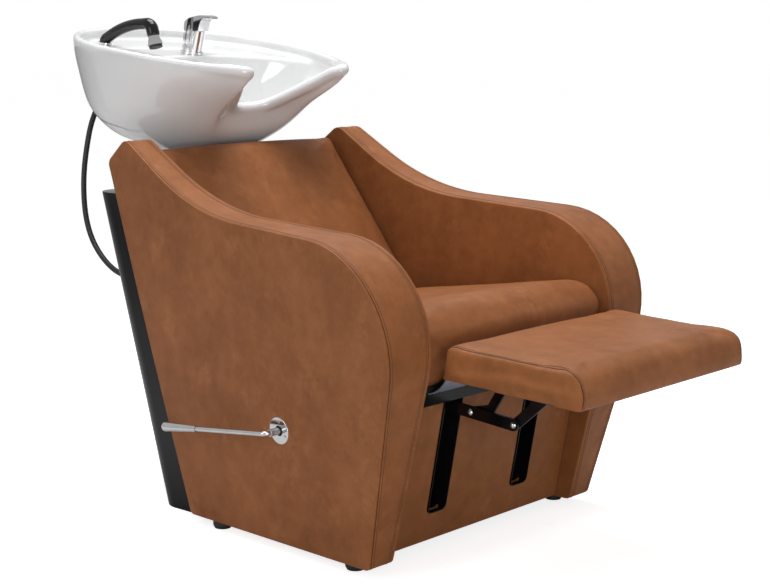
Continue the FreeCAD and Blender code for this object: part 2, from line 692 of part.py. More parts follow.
keep("seat_board", bound_box("seat_plywood", "- panel_inner_x", "front_rail_y",
                             "seat_frame_z + seat_frame_high",
                             "panel_inner_x + panel_inner_x",
                             "seat_board_rear_y - front_rail_y", "seat_board_thick"))

seat_base = seat_frame_z + seat_frame_high + size("seat_board_thick")
small_round = size("cushion_small_round")
cushion_half = inner - size("cushion_side_gap")
end_round = size("cushion_end_round")
seat_points = (
    (size("seat_rear_low_y"), seat_base),
    (size("seat_rear_y"), size("seat_rear_z")),
    (size("seat_nose_y"), size("seat_nose_z")),
    (size("seat_front_y"), size("seat_front_z")),
    (size("seat_lip_y"), seat_base),
)
seat_radii = (small_round, small_round, size("seat_nose_round"), size("seat_front_round"), small_round)
seat_crown = size("seat_crown")
feature("seat_cushion", cushion(
    seat_points, seat_radii, (0, seat_crown, seat_crown, seat_crown / 2, 0), cushion_half, end_round))

# Back board and back cushion, leaning rearwards

back_along = Vector(0, size("back_head_y") - size("back_foot_y"), size("back_head_z") - size("back_foot_z"))
back_long = back_along.Length
back_along.normalize()
back_inward = Vector(0, back_along.z, -back_along.y)


def back_point(along, inward):
    """(y, z) of a point on the back, measured from the foot of its face."""
    point = side_point(size("back_foot_y"), size("back_foot_z")) + back_along * along + back_inward * inward
    return (point.y, point.z)


back_thick = size("back_thick")
back_points = (back_point(0, 0), back_point(back_long, 0),
               back_point(back_long, back_thick), back_point(0, back_thick))
head_round = size("back_head_round")
feature("back_cushion", cushion(
    back_points, (small_round, head_round, head_round, small_round),
    (size("back_crown"), 0, 0, 0), cushion_half, end_round))

board_back = back_thick + size("back_board_thick")
board_rest_z = seat_frame_z + seat_frame_high + size("seat_gap")
board_low = (board_rest_z - back_point(0, board_back)[1]) / back_along.z
board_high = back_long - size("back_board_short")
board_half = inner - size("back_board_gap")
back_board_corners = [back_point(board_low, back_thick), back_point(board_high, back_thick),
                      back_point(board_high, board_back), back_point(board_low, board_back)]
feature("back_board", prism([(side_point(y, z, -board_half), 0) for y, z in back_board_corners],
                            Vector(2 * board_half, 0, 0)))

# Kick panel with two slots open at the top, each with a steel liner

kick_foot_y = size("kick_foot_y")
kick_foot_z = size("kick_foot_z")
kick_rise = seat_frame_z - kick_foot_z
kick_slope = (size("kick_head_y") - kick_foot_y) / kick_rise
kick_half = inner - size("panel_clearance")
slot_half = size("slot_wide") / 2
slot_middle = size("slot_middle_x")
slot_foot_z = size("slot_foot_z")


def kick_slab(front, rear, half):
    """A leaning slab between two distances behind the kick panel's face."""
    corners = []
    for y, z in ((kick_foot_y + front, kick_foot_z), (kick_foot_y + rear, kick_foot_z),
                 (size("kick_head_y") + rear, seat_frame_z), (size("kick_head_y") + front, seat_frame_z)):
        corners.append((side_point(y, z, -half), 0))
    return prism(corners, Vector(2 * half, 0, 0))


def slot_prism(middle, inset):
    """A slot's opening as a prism along Y, smaller by an inset at the sides and foot."""
    half = slot_half - inset
    foot = slot_foot_z + inset
    radius = size("slot_round") - inset
    y = 2 * kick_foot_y
    corners = (
        (Vector(middle - half, y, foot), radius),
        (Vector(middle + half, y, foot), radius),
        (Vector(middle + half, y, 2 * seat_frame_z), 0),
        (Vector(middle - half, y, 2 * seat_frame_z), 0),
    )
    return prism(corners, Vector(0, -2 * kick_foot_y, 0))


kick = kick_slab(0, size("kick_thick"), kick_half)
for middle in (-slot_middle, slot_middle):
    kick = kick.cut(slot_prism(middle, 0))
feature("kick_panel", kick)

liner_wall = size("liner_wall")
seat_gap = size("seat_gap")
liner_slab = kick_slab(-size("liner_proud"), size("liner_deep"), kick_half)
back_slab = kick_slab(size("liner_deep") - liner_wall, size("liner_deep"), kick_half)
below_back_top = Part.makeBox(2 * kick_half, 2 * seat_frame_z, size("liner_back_top_z"),
                              Vector(-kick_half, -2 * seat_frame_z, 0))
above_back_top = Part.makeBox(2 * kick_half, 2 * seat_frame_z, seat_frame_z,
                              Vector(-kick_half, -2 * seat_frame_z, size("liner_back_top_z")))
shaft_room = kick_slab(size("liner_head_deep"), 2 * size("liner_deep"), kick_half).common(above_back_top)
for side, middle in (("left", slot_middle), ("right", -slot_middle)):
    outer_prism = slot_prism(middle, seat_gap)
    shell = outer_prism.cut(slot_prism(middle, liner_wall)).common(liner_slab).cut(shaft_room)
    back_wall = outer_prism.common(back_slab).common(below_back_top)
    feature("slot_liner_" + side, shell.fuse(back_wall).removeSplitter())

# Apron: a curved sheet from the front rail up under the seat nose

apron_half = size("apron_half")
apron_z = size("apron_foot_z")
apron_foot_y = size("front_rail_y") - seat_gap
apron_thick = size("apron_thick")
apron_arc = Part.Arc(side_point(apron_foot_y, apron_z, -apron_half),
                     side_point(size("apron_bend_y"), size("apron_bend_z"), -apron_half),
                     side_point(size("apron_lip_y"), size("apron_lip_z"), -apron_half))
apron_inner = Part.Arc(side_point(apron_foot_y, apron_z + apron_thick, -apron_half),
                       side_point(size("apron_bend_y") + apron_thick, size("apron_bend_z") + apron_thick, -apron_half),
                       side_point(size("apron_lip_y") + apron_thick, size("apron_lip_z"), -apron_half))
apron_wire = Part.Wire([
    apron_arc.toShape(),
    Part.LineSegment(apron_arc.EndPoint, apron_inner.EndPoint).toShape(),
    apron_inner.toShape(),
    Part.LineSegment(apron_inner.StartPoint, apron_arc.StartPoint).toShape(),
])
feature("seat_apron", Part.Face(apron_wire).extrude(Vector(2 * apron_half, 0, 0)))

# Bearing plates under the seat board carry the lever shaft and the arm shaft

arm_y = size("arm_pivot_y")
arm_z = size("arm_pivot_z")
lever_y = size("lever_pivot_y")
lever_z = size("lever_pivot_z")
shaft_radius = size("shaft_radius")
running = size("running_gap")
bearings = []
for side, low_x in both_sides(size("bearing_x"), size("bearing_thick")):
    plate = Part.makeBox(size("bearing_thick"), size("bearing_rear_y") - size("bearing_front_y"),
                         seat_frame_z + seat_frame_high - size("bearing_low_z"),
                         Vector(low_x, size("bearing_front_y"), size("bearing_low_z")))
    for y, z in ((arm_y, arm_z), (lever_y, lever_z)):
        plate = plate.cut(cylinder_x(shaft_radius + running, low_x, low_x + size("bearing_thick"), y, z))
    bearings.append(plate)
feature("bearing_plates", Part.makeCompound(bearings))

# Shafts with their cranks, and the two drive rods that join them

crank_angle = math.radians(size("crank_angle"))
pin_dy = size("crank_radius") * math.cos(crank_angle)
pin_dz = size("crank_radius") * math.sin(crank_angle)
crank_thick = size("crank_thick")
rod_thick = size("rod_thick")
link_gap = size("link_gap")
eye_radius = size("crank_eye_radius")
pin_radius = size("crank_pin_radius")


def crank_shaft(y, z, start_x, end_x):
    """A shaft along X with a crank and a crank pin near each bearing plate."""
    solid = cylinder_x(shaft_radius, start_x, end_x, y, z)
    for side, low_x in both_sides(size("crank_x"), crank_thick):
        solid = solid.fuse(cylinder_x(size("crank_hub_radius"), low_x, low_x + crank_thick, y, z))
        solid = solid.fuse(bar_x(y, z, y + pin_dy, z + pin_dz, eye_radius, low_x, crank_thick))
    for side, low_x in both_sides(size("crank_x") + crank_thick, link_gap + rod_thick):
        solid = solid.fuse(cylinder_x(pin_radius, low_x, low_x + link_gap + rod_thick, y + pin_dy, z + pin_dz))
    return solid.removeSplitter()


bend_radius = size("lever_bend_radius")
rod_start_x = lever_plane + bend_radius
feature("lever_shaft", crank_shaft(lever_y, lever_z, rod_start_x, size("shaft_end_x")))
feature("arm_shaft", crank_shaft(arm_y, arm_z, -size("shaft_end_x"), size("shaft_end_x")))

drive_rods = []
for side, low_x in both_sides(size("crank_x") + crank_thick + link_gap, rod_thick):
    rod = bar_x(lever_y + pin_dy, lever_z + pin_dz, arm_y + pin_dy, arm_z + pin_dz,
                size("rod_half_deep"), low_x, rod_thick)
    for y, z in ((lever_y, lever_z), (arm_y, arm_z)):
        rod = rod.fuse(cylinder_x(eye_radius, low_x, low_x + rod_thick, y + pin_dy, z + pin_dz))
    for y, z in ((lever_y, lever_z), (arm_y, arm_z)):
        rod = rod.cut(cylinder_x(pin_radius + running, low_x, low_x + rod_thick, y + pin_dy, z + pin_dz))
    drive_rods.append(rod)
feature("drive_rods", Part.makeCompound(drive_rods))

# Side lever: a bent rod with a sleeve grip, and a round plate on the panel

drop = math.radians(size("lever_drop"))
lever_way = Vector(0, math.cos(drop), -math.sin(drop))
lever_root = Vector(rod_start_x, lever_y, lever_z)
lever_corner = Vector(lever_plane, lever_y, lever_z)
bend_middle = lever_corner + (Vector(bend_radius, 0, 0) + lever_way * bend_radius) * (1 - math.sqrt(0.5))
rod_end = lever_corner + lever_way * size("lever_rod_long")
rod_path = Part.Wire([
    Part.Arc(lever_root, bend_middle, lever_corner + lever_way * bend_radius).toShape(),
    Part.LineSegment(lever_corner + lever_way * bend_radius, rod_end).toShape(),
])
rod_circle = Part.Wire([Part.makeCircle(size("lever_rod_radius"), lever_root, Vector(-1, 0, 0))])
feature("lever_rod", rod_path.makePipeShell([rod_circle], True, True))

grip_long = size("grip_long")
grip_large = size("grip_large_radius")
grip = Part.makeCone(size("grip_small_radius"), grip_large, grip_long - grip_large, rod_end, lever_way)
grip_ball = Part.makeSphere(grip_large, rod_end + lever_way * (grip_long - grip_large))
feature("lever_grip", grip.fuse(grip_ball).removeSplitter())

plate_radius = size("plate_radius")
plate_sink = size("plate_thick") / 2
slope_y = (outer_face_x(lever_y + plate_radius, lever_z) - outer_face_x(lever_y, lever_z)) / plate_radius
slope_z = (outer_face_x(lever_y, lever_z + plate_radius) - outer_face_x(lever_y, lever_z)) / plate_radius
face_normal = Vector(-1, -slope_y, -slope_z)
face_normal.normalize()
plate_middle = Vector(-outer_face_x(lever_y, lever_z), lever_y, lever_z)
plate = Part.makeCylinder(plate_radius, size("plate_thick") + plate_sink,
                          plate_middle - face_normal * plate_sink, face_normal)
rim_edges = [edge for edge in plate.Edges if (edge.CenterOfMass - plate_middle).dot(face_normal) > size("plate_thick") / 2
             and edge.Closed]
plate = plate.makeFillet(size("plate_thick") / 2, rim_edges)
plate = plate.cut(cylinder_x(size("lever_bore_radius"), 0, 2 * lever_plane, lever_y, lever_z))
plate = plate.cut(panel_slab(-1))
feature("lever_plate", plate)

screws = []
upright = Vector(0, 0, 1)
plate_side = face_normal.cross(upright)
plate_side.normalize()
plate_up = plate_side.cross(face_normal)
for turn in (90, 210, 330):
    angle = math.radians(turn)
    spot = plate_side * math.cos(angle) + plate_up * math.sin(angle)
    seat = plate_middle + spot * size("plate_screw_reach") + face_normal * size("plate_thick")
    head = Part.makeCylinder(size("plate_screw_radius"), size("plate_screw_high"), seat, face_normal)
    screws.append(head)
feature("lever_plate_screws", Part.makeCompound(screws))

# Leg rest linkage: arms on the arm shaft, front and rear links, pad brackets

tip_y = size("arm_tip_y")
tip_z = size("arm_tip_z")
mid_share = size("arm_mid_share")
mid_y = arm_y + mid_share * (tip_y - arm_y)
mid_z = arm_z + mid_share * (tip_z - arm_z)
run_y = size("link_run_y")
run_z = size("link_run_z")
arm_x = size("arm_x")
arm_thick = size("arm_thick")
arm_half = size("arm_half_deep")
link_thick = size("link_thick")
link_radius = size("link_radius")
link_pin = size("link_pin_radius")
link_x = arm_x - link_gap - link_thick
bracket_thick = size("bracket_thick")
bracket_x = link_x - link_gap - bracket_thick

arms = []
for side, low_x in both_sides(arm_x, arm_thick):
    arm = bar_x(arm_y, arm_z, tip_y, tip_z, arm_half, low_x, arm_thick)
    arm = arm.fuse(cylinder_x(size("arm_hub_radius"), low_x, low_x + arm_thick, arm_y, arm_z))
    arm = arm.cut(cylinder_x(shaft_radius, low_x, low_x + arm_thick, arm_y, arm_z))
    for y, z in ((mid_y, mid_z), (tip_y, tip_z)):
        arm = arm.cut(cylinder_x(link_pin, low_x, low_x + arm_thick, y, z))
    arms.append(arm.removeSplitter())
feature("leg_arms", Part.makeCompound(arms))


def link_bolts(y, z):
    """A domed bolt through arm and link on each side, head outwards."""
    bolts = []
    head_radius = size("bolt_head_radius")
    head_high = size("bolt_head_high")
    for sign in (1, -1):
        outer = sign * (arm_x + arm_thick)
        shank = cylinder_x(link_pin, sign * link_x, outer, y, z)
        dome = Part.makeSphere((head_radius ** 2 + head_high ** 2) / (2 * head_high))
        drop_x = (head_radius ** 2 + head_high ** 2) / (2 * head_high) - head_high
        dome.translate(Vector(outer - sign * drop_x, y, z))
        keep_box = cylinder_x(head_radius, outer, outer + sign * head_high, y, z)
        bolts.append(shank.fuse(dome.common(keep_box)))
    return bolts


feature("arm_bolts", Part.makeCompound(link_bolts(mid_y, mid_z) + link_bolts(tip_y, tip_z)))

upper_front_y = tip_y + run_y
upper_front_z = tip_z + run_z
upper_rear_y = mid_y + run_y
upper_rear_z = mid_z + run_z
knee_y = size("link_knee_y")
knee_z = size("link_knee_z")
half_bar = size("link_half_deep")
flare = size("front_link_flare")
pin_bore = link_pin + running

front_links = []
rear_links = []
for side, low_x in both_sides(link_x, link_thick):
    link = bar_x(tip_y, tip_z, upper_front_y, upper_front_z, link_radius, low_x, link_thick)
    gusset = plate_x((
        (tip_y, tip_z, 0),
        (upper_front_y, upper_front_z, 0),
        (upper_front_y + flare, upper_front_z, small_round / 2),
        (upper_front_y + 2 * flare, upper_front_z - flare, small_round / 2),
    ), low_x, link_thick)
    link = link.fuse(gusset).removeSplitter()
    for y, z in ((tip_y, tip_z), (upper_front_y, upper_front_z)):
        link = link.cut(cylinder_x(pin_bore, low_x, low_x + link_thick, y, z))
    front_links.append(link)
    bent = bar_x(mid_y, mid_z, knee_y, knee_z, half_bar, low_x, link_thick)
    bent = bent.fuse(bar_x(knee_y, knee_z, upper_rear_y, upper_rear_z, half_bar, low_x, link_thick))
    bent = bent.removeSplitter()
    for y, z in ((mid_y, mid_z), (upper_rear_y, upper_rear_z)):
        bent = bent.cut(cylinder_x(pin_bore, low_x, low_x + link_thick, y, z))
    rear_links.append(bent)
feature("front_links", Part.makeCompound(front_links))
feature("rear_links", Part.makeCompound(rear_links))

# Leg rest pad: cushion, board and brackets

pad_rear = side_point(size("pad_rear_y"), size("pad_rear_z"))
pad_way = side_point(size("pad_front_y"), size("pad_front_z")) - pad_rear
pad_long = pad_way.Length
pad_way.normalize()
pad_up = Vector(0, pad_way.z, -pad_way.y)


def pad_point(along, over):
    """(y, z) measured along the pad's underside from its rear edge, and above it."""
    point = pad_rear + pad_way * along + pad_up * over
    return (point.y, point.z)


pad_points = (
    (size("pad_rear_y"), size("pad_rear_z")),
    (size("pad_rear_top_y"), size("pad_rear_top_z")),
    (size("pad_front_top_y"), size("pad_front_top_z")),
    (size("pad_front_y"), size("pad_front_z")),
)
pad_crown = size("pad_crown")
pad_half = inner - size("pad_side_gap")
feature("legrest_cushion", cushion(
    pad_points, (small_round, small_round, size("pad_nose_round"), small_round),
    (0, pad_crown, 0, 0), pad_half, end_round))

board_inset = size("pad_board_inset")
board_thick = size("pad_board_thick")
board_half = pad_half - board_inset
pad_board = [pad_point(board_inset, 0), pad_point(pad_long - board_inset, 0),
             pad_point(pad_long - board_inset, -board_thick), pad_point(board_inset, -board_thick)]
feature("legrest_board", prism([(side_point(y, z, -board_half), 0) for y, z in pad_board],
                               Vector(2 * board_half, 0, 0)))

bracket_radius = size("bracket_radius")
brackets = []
for side, low_x in both_sides(bracket_x, bracket_thick):
    rear_high = pad_point((pad_rear.y - upper_rear_y) - bracket_radius, -board_thick)
    front_high = pad_point((pad_rear.y - upper_front_y) + bracket_radius, -board_thick)
    web = plate_x((
        (rear_high[0], rear_high[1], 0),
        (front_high[0], front_high[1], 0),
        (upper_front_y - bracket_radius, upper_front_z, 0),
        (upper_front_y, upper_front_z - bracket_radius, 0),
        (upper_rear_y, upper_rear_z - bracket_radius, 0),
        (upper_rear_y + bracket_radius, upper_rear_z, 0),
    ), low_x, bracket_thick)
    sign = 1 if side == "left" else -1
    pin_start = sign * bracket_x
    pin_end = sign * (link_x + link_thick)
    for y, z in ((upper_rear_y, upper_rear_z), (upper_front_y, upper_front_z)):
        web = web.fuse(cylinder_x(bracket_radius, low_x, low_x + bracket_thick, y, z))
        web = web.fuse(cylinder_x(link_pin, pin_start, pin_end, y, z))
    brackets.append(web.removeSplitter())
feature("pad_brackets", Part.makeCompound(brackets))

# Rear column cover: a leaning sheet shell with rounded rear corners, and its cap

cover_rear = size("cover_rear_y")
cover_front = size("cover_front_y")
cover_wall = size("cover_wall")
cover_round = size("cover_round")
cover_top = size("cover_top_z")


def column_outline(inset, z, front):
    """Plan outline of the cover at a height, smaller by an inset."""
    shift = cover_lean * z
    half = cover_half - inset
    rear = cover_rear + shift - inset
    radius = cover_round - inset
    return (
        (Vector(-half, front + shift, z), 0),
        (Vector(half, front + shift, z), 0),
        (Vector(half, rear, z), radius),
        (Vector(-half, rear, z), radius),
    )


rise = Vector(0, cover_lean * cover_top, cover_top)
cover = prism(column_outline(0, 0, cover_front), rise)
cover = cover.cut(prism(column_outline(cover_wall, 0, cover_front - cover_round), rise))
hose_end = Vector(size("hose_k_x"), size("hose_k_y"), size("hose_k_z"))
gland_seat = Vector(hose_end.x, cover_rear + cover_lean * hose_end.z, hose_end.z)
gland_path = Vector(0, 1, 0)
gland_bore = Part.makeCylinder(size("gland_bore"), 2 * size("gland_long"),
                               gland_seat - gland_path * size("gland_long"), gland_path)
feature("rear_cover", cover.cut(gland_bore))

cap = prism(column_outline(0, cover_top, 0), Vector(0, 0, size("cap_thick")))
board_foot = back_point(0, board_back)
board_head = back_point(back_long, board_back)
board_slope = (board_head[0] - board_foot[0]) / (board_head[1] - board_foot[1])
cap_top = cover_top + size("cap_thick")
cap_front = board_foot[0] + (cap_top - board_foot[1]) * board_slope
cap_trim = Part.makeBox(4 * cover_half, cap_front - nose_y, 2 * cap_top,
                        Vector(-2 * cover_half, nose_y, 0))
window = Part.makeBox(2 * size("cap_window_half"), size("cap_window_rear_y") - size("cap_window_front_y"),
                      2 * cap_top, Vector(-size("cap_window_half"), size("cap_window_front_y"), 0))
feature("rear_cover_cap", cap.cut(cap_trim).cut(window))

cover_screws = []
for sign in (1, -1):
    head_z = size("cover_screw_z")
    screw_y = size("cover_screw_y")
    cover_screws.append(cylinder_x(size("cover_screw_radius"), sign * cover_half,
                                   sign * (cover_half + size("cover_screw_high")), screw_y - cover_round / 2, head_z))
feature("cover_screws", Part.makeCompound(cover_screws))

gland_start = gland_seat - gland_path * size("gland_long")
gland = Part.makeCylinder(size("gland_radius"), 2 * size("gland_long"), gland_start, gland_path)
gland = gland.cut(prism(column_outline(0, 0, cover_front), rise * 2))
gland = gland.cut(Part.makeCylinder(size("gland_bore"), 2 * size("gland_long"), gland_start, gland_path))
feature("hose_gland", gland)

# Mast: a leaning steel tube on the rear cross rail

mast_half = size("mast_half")
mast_deep = size("mast_deep")
mast_base_z = rail_z + rail
mast_rise = Vector(0, cover_lean * (size("mast_top_z") - mast_base_z), size("mast_top_z") - mast_base_z)


def mast_outline(inset):
    """Plan outline of the mast at its foot."""
    front = size("mast_foot_y") + inset
    rear = size("mast_foot_y") + mast_deep - inset
    half = mast_half - inset
    return [(Vector(x, y, mast_base_z), 0) for x, y in ((-half, front), (half, front), (half, rear), (-half, rear))]


feature("mast", prism(mast_outline(0), mast_rise).cut(prism(mast_outline(size("mast_wall")), mast_rise)))

# Bracket with two cheeks, the tilt pins, and the cradle that turns on them

yoke_thick = size("yoke_thick")
yoke_half = size("yoke_inner_half")
yoke_front = size("yoke_front_y")
yoke_z = size("mast_top_z")
tilt_y = size("tilt_y")
tilt_z = size("tilt_z")
tilt_pin = size("tilt_pin_radius")
tilt_head = size("tilt_head_radius")
yoke = Part.makeBox(2 * (yoke_half + yoke_thick), size("yoke_deep"), yoke_thick,
                    Vector(-yoke_half - yoke_thick, yoke_front, yoke_z))
for side, low_x in both_sides(yoke_half, yoke_thick):
    cheek = plate_x((
        (yoke_front, yoke_z, 0),
        (yoke_front + size("yoke_deep"), yoke_z, 0),
        (tilt_y + tilt_head, tilt_z, 0),
        (tilt_y - tilt_head, tilt_z, 0),
    ), low_x, yoke_thick)
    cheek = cheek.fuse(cylinder_x(tilt_head, low_x, low_x + yoke_thick, tilt_y, tilt_z))
    cheek = cheek.cut(cylinder_x(tilt_pin, low_x, low_x + yoke_thick, tilt_y, tilt_z))
    yoke = yoke.fuse(cheek)
feature("basin_bracket", yoke.removeSplitter())

ear_thick = size("ear_thick")
ear_outer = yoke_half - size("ear_gap")
pins = []
for sign in (1, -1):
    pin = cylinder_x(tilt_pin, sign * (ear_outer - ear_thick), sign * (yoke_half + yoke_thick), tilt_y, tilt_z)
    head_x = sign * (yoke_half + yoke_thick)
    head = cylinder_x(size("tilt_pin_head_radius"), head_x, head_x + sign * size("tilt_pin_head"), tilt_y, tilt_z)
    pins.append(pin.fuse(head).removeSplitter())
feature("tilt_pins", Part.makeCompound(pins))

basin_y = size("basin_middle_y")
rim_z = size("basin_rim_z")
basin_floor = rim_z - size("basin_deep")
gasket_z = basin_floor - size("gasket_thick")
cradle_thick = size("cradle_thick")
cradle_z = gasket_z - cradle_thick
cradle = Part.makeBox(2 * size("cradle_half"), size("cradle_deep"), cradle_thick,
                      Vector(-size("cradle_half"), size("cradle_front_y"), cradle_z))
drain_y = size("drain_y")
cradle = cradle.cut(Part.makeCylinder(size("gasket_bore"), cradle_thick, Vector(0, drain_y, cradle_z)))
ear_radius = size("ear_radius")
for side, low_x in both_sides(ear_outer - ear_thick, ear_thick):
    ear = plate_x((
        (tilt_y - 2 * ear_radius, cradle_z, 0),
        (tilt_y - ear_radius, tilt_z, 0),
        (tilt_y + ear_radius, tilt_z, 0),
        (tilt_y + 2 * ear_radius, cradle_z, 0),
    ), low_x, ear_thick)
    ear = ear.fuse(cylinder_x(ear_radius, low_x, low_x + ear_thick, tilt_y, tilt_z))
    ear = ear.cut(cylinder_x(tilt_pin + running, low_x, low_x + ear_thick, tilt_y, tilt_z))
    cradle = cradle.fuse(ear)
feature("basin_cradle", cradle.removeSplitter())

gasket = Part.makeCylinder(size("gasket_radius"), size("gasket_thick"), Vector(0, drain_y, gasket_z))
feature("basin_gasket", gasket.cut(Part.makeCylinder(size("gasket_bore"), size("gasket_thick"),
                                                     Vector(0, drain_y, gasket_z))))

# Ceramic basin: egg-shaped shell with two horns and a neck notch between them

basin_half = size("basin_half")
basin_front = size("basin_front")
basin_rear = size("basin_rear")
basin_tilt = size("basin_tilt")
deck_frame = FreeCAD.Placement(Vector(0, basin_y, rim_z), FreeCAD.Rotation(Vector(1, 0, 0), basin_tilt))

# each row: depth, tilt, front reach, front dip, front half width, half width, middle, rear reach
outer_shares = (
    (0.000, 1.00, 0.989, 0.435, 0.500, 1.000, 0.182, 0.996),
    (0.136, 0.89, 0.949, 0.400, 0.487, 0.996, 0.182, 0.989),
    (0.321, 0.71, 0.790, 0.272, 0.458, 0.960, 0.171, 0.967),
    (0.570, 0.36, 0.545, 0.134, 0.425, 0.890, 0.153, 0.920),
    (0.751, 0.12, 0.400, 0.045, 0.370, 0.755, 0.135, 0.825),
    (0.887, 0.00, 0.260, 0.007, 0.280, 0.585, 0.098, 0.640),
    (1.000, 0.00, 0.155, 0.000, 0.200, 0.370, 0.080, 0.415),
)
bowl_shares = (
    (-0.020, 1.00, 0.900, 0.120, 0.440, 0.880, -0.200, 0.088),
    (0.110, 1.00, 0.880, 0.150, 0.432, 0.864, -0.211, 0.086),
    (0.332, 0.71, 0.699, 0.220, 0.396, 0.813, -0.211, 0.102),
    (0.633, 0.36, 0.482, 0.190, 0.330, 0.659, -0.175, 0.109),
    (0.859, 0.12, 0.319, 0.070, 0.256, 0.458, -0.138, 0.120),
    (1.000, 0.00, 0.210, 0.000, 0.147, 0.293, -0.047, 0.135),
)


def egg_wire(share_row, deep, grow=0):
    """One closed outline of the basin from a row of shares, grown all round by grow."""
    depth, tilt, front, dip, front_half, half, middle, rear = share_row
    placement = FreeCAD.Placement(Vector(0, basin_y, rim_z - depth * deep),
                                  FreeCAD.Rotation(Vector(1, 0, 0), basin_tilt * tilt))
    front_v = -front * basin_front - grow
    rear_v = rear * basin_rear + grow
    middle_v = middle * basin_rear
    front_x = front_half * basin_half + grow
    half_x = half * basin_half + grow

    def on_ellipse(angle, length_v):
        return (half_x * math.sin(angle), middle_v + length_v * math.cos(angle))

    eighth = math.pi / 4
    rear_mid = on_ellipse(eighth, rear_v - middle_v)
    side_x = half_x - (half_x - front_x) * 0.32
    side_v = middle_v + (front_v - middle_v) * 0.58
    chain = ((front_x, front_v), (side_x, side_v), (half_x, middle_v), rear_mid, (0, rear_v))
    points = [placement.multVec(Vector(x, v, 0)) for x, v in chain]
    mirrored = [Vector(-point.x, point.y, point.z) for point in points]
    if dip > 0:
        neck = placement.multVec(Vector(0, front_v + dip * basin_front, 0))
        front_edge = Part.Arc(mirrored[0], neck, points[0])
    else:
        front_edge = Part.LineSegment(mirrored[0], points[0])
    edges = [
        Part.Arc(points[0], points[1], points[2]).toShape(),
        Part.Arc(points[2], points[3], points[4]).toShape(),
        Part.Arc(mirrored[4], mirrored[3], mirrored[2]).toShape(),
        Part.Arc(mirrored[2], mirrored[1], mirrored[0]).toShape(),
        front_edge.toShape(),
    ]
    return Part.Wire(edges)


basin = Part.makeLoft([egg_wire(line, size("basin_deep")) for line in outer_shares], True, False)
bowl = Part.makeLoft([egg_wire(line, size("bowl_deep")) for line in bowl_shares], True, False)

rim_wide = size("rim_wide")
rim_shrink = 1 - rim_wide / basin_half
deck_drop = size("deck_drop")


def rim_recess(shrink, depth):
    """The rim outline drawn in by a share, at a depth below the rim plane."""
    first = outer_shares[0]
    recess_row = (depth / size("basin_deep"), first[1], first[2] * shrink, first[3] * shrink,
                  first[4] * shrink, first[5] * shrink, first[6], first[7] * shrink)
    return egg_wire(recess_row, size("basin_deep"))


recess = Part.makeLoft([rim_recess(rim_shrink, -rim_wide), rim_recess(rim_shrink, deck_drop)], True, True)

service_high = deck_drop + size("deck_thick")
service_half = size("service_half")
service_low = 2 * size("basin_deep")
service_corners = (
    (Vector(-service_half, 0, -service_low), size("service_round")),
    (Vector(service_half, 0, -service_low), size("service_round")),
    (Vector(service_half, 2 * basin_rear, -service_low), 0),
    (Vector(-service_half, 2 * basin_rear, -service_low), 0),
)
service = prism(service_corners, Vector(0, 0, service_low - service_high))
service.Placement = deck_frame
bowl_wall = size("bowl_wall")
bowl_skin = Part.makeLoft([egg_wire(line, size("bowl_deep"), bowl_wall) for line in bowl_shares], True, False)
base_block = Part.makeBox(2 * size("base_half"), 2 * size("base_half"), size("base_high") + size("basin_deep"),
                          Vector(-size("base_half"), size("drain_y") - size("base_half"),
                                 rim_z - 2 * size("basin_deep")))
service = service.cut(bowl_skin).cut(base_block)

lip_y = size("notch_lip_y")
lip_z = size("notch_lip_z")
notch_steep = size("notch_slope_deep") / size("notch_slope_high")
notch_low = lip_z - size("notch_slope_high")
notch_high = rim_z + size("notch_slope_high")
notch_low_y = lip_y + (notch_low - lip_z) * notch_steep
notch_mouth_y = notch_low_y - size("notch_long")
notch = prism((
    (Vector(-size("notch_half_mouth"), notch_mouth_y, notch_low), 0),
    (Vector(size("notch_half_mouth"), notch_mouth_y, notch_low), 0),
    (Vector(size("notch_half_back"), notch_low_y, notch_low), size("notch_round")),
    (Vector(-size("notch_half_back"), notch_low_y, notch_low), size("notch_round")),
), Vector(0, (notch_high - notch_low) * notch_steep, notch_high - notch_low))

mixer_v = size("mixer_v")
shower_x = size("shower_x")
shower_v = size("shower_v")
deck_surface = -deck_drop * math.cos(math.radians(basin_tilt))
deck_under = -service_high


def deck_cylinder(radius, x, v, low, high):
    """A cylinder square to the tap deck, in the deck's own frame."""
    return Part.makeCylinder(radius, high - low, Vector(x, v, low))


mixer_hole = deck_cylinder(size("mixer_hole_radius"), 0, mixer_v, -service_low, rim_wide)
mixer_hole.Placement = deck_frame
holder_hole = deck_cylinder(size("holder_hole_radius"), shower_x, shower_v, -service_low, rim_wide)
holder_hole.Placement = deck_frame
drain_hole = Part.makeCylinder(size("drain_hole_radius"), 2 * size("basin_deep"), Vector(0, drain_y, cradle_z))
flange_z = rim_z - size("bowl_deep")

basin = basin.cut(recess).cut(bowl).cut(service).cut(notch)
basin = basin.cut(mixer_hole).cut(holder_hole).cut(drain_hole)
feature("basin", basin)

# Waste: flange, tailpiece and lift-out strainer

neck = size("drain_neck_radius")
bore = size("drain_bore_radius")
flange_thick = size("drain_flange_thick")
flange = Part.makeCylinder(size("drain_flange_radius"), flange_thick, Vector(0, drain_y, flange_z))
flange = flange.fuse(Part.makeCylinder(neck, flange_z - size("drain_neck_low_z"),
                                       Vector(0, drain_y, size("drain_neck_low_z"))))
flange = flange.cut(Part.makeCylinder(bore, size("basin_deep"), Vector(0, drain_y, size("drain_neck_low_z"))))
feature("drain_flange", flange.removeSplitter())

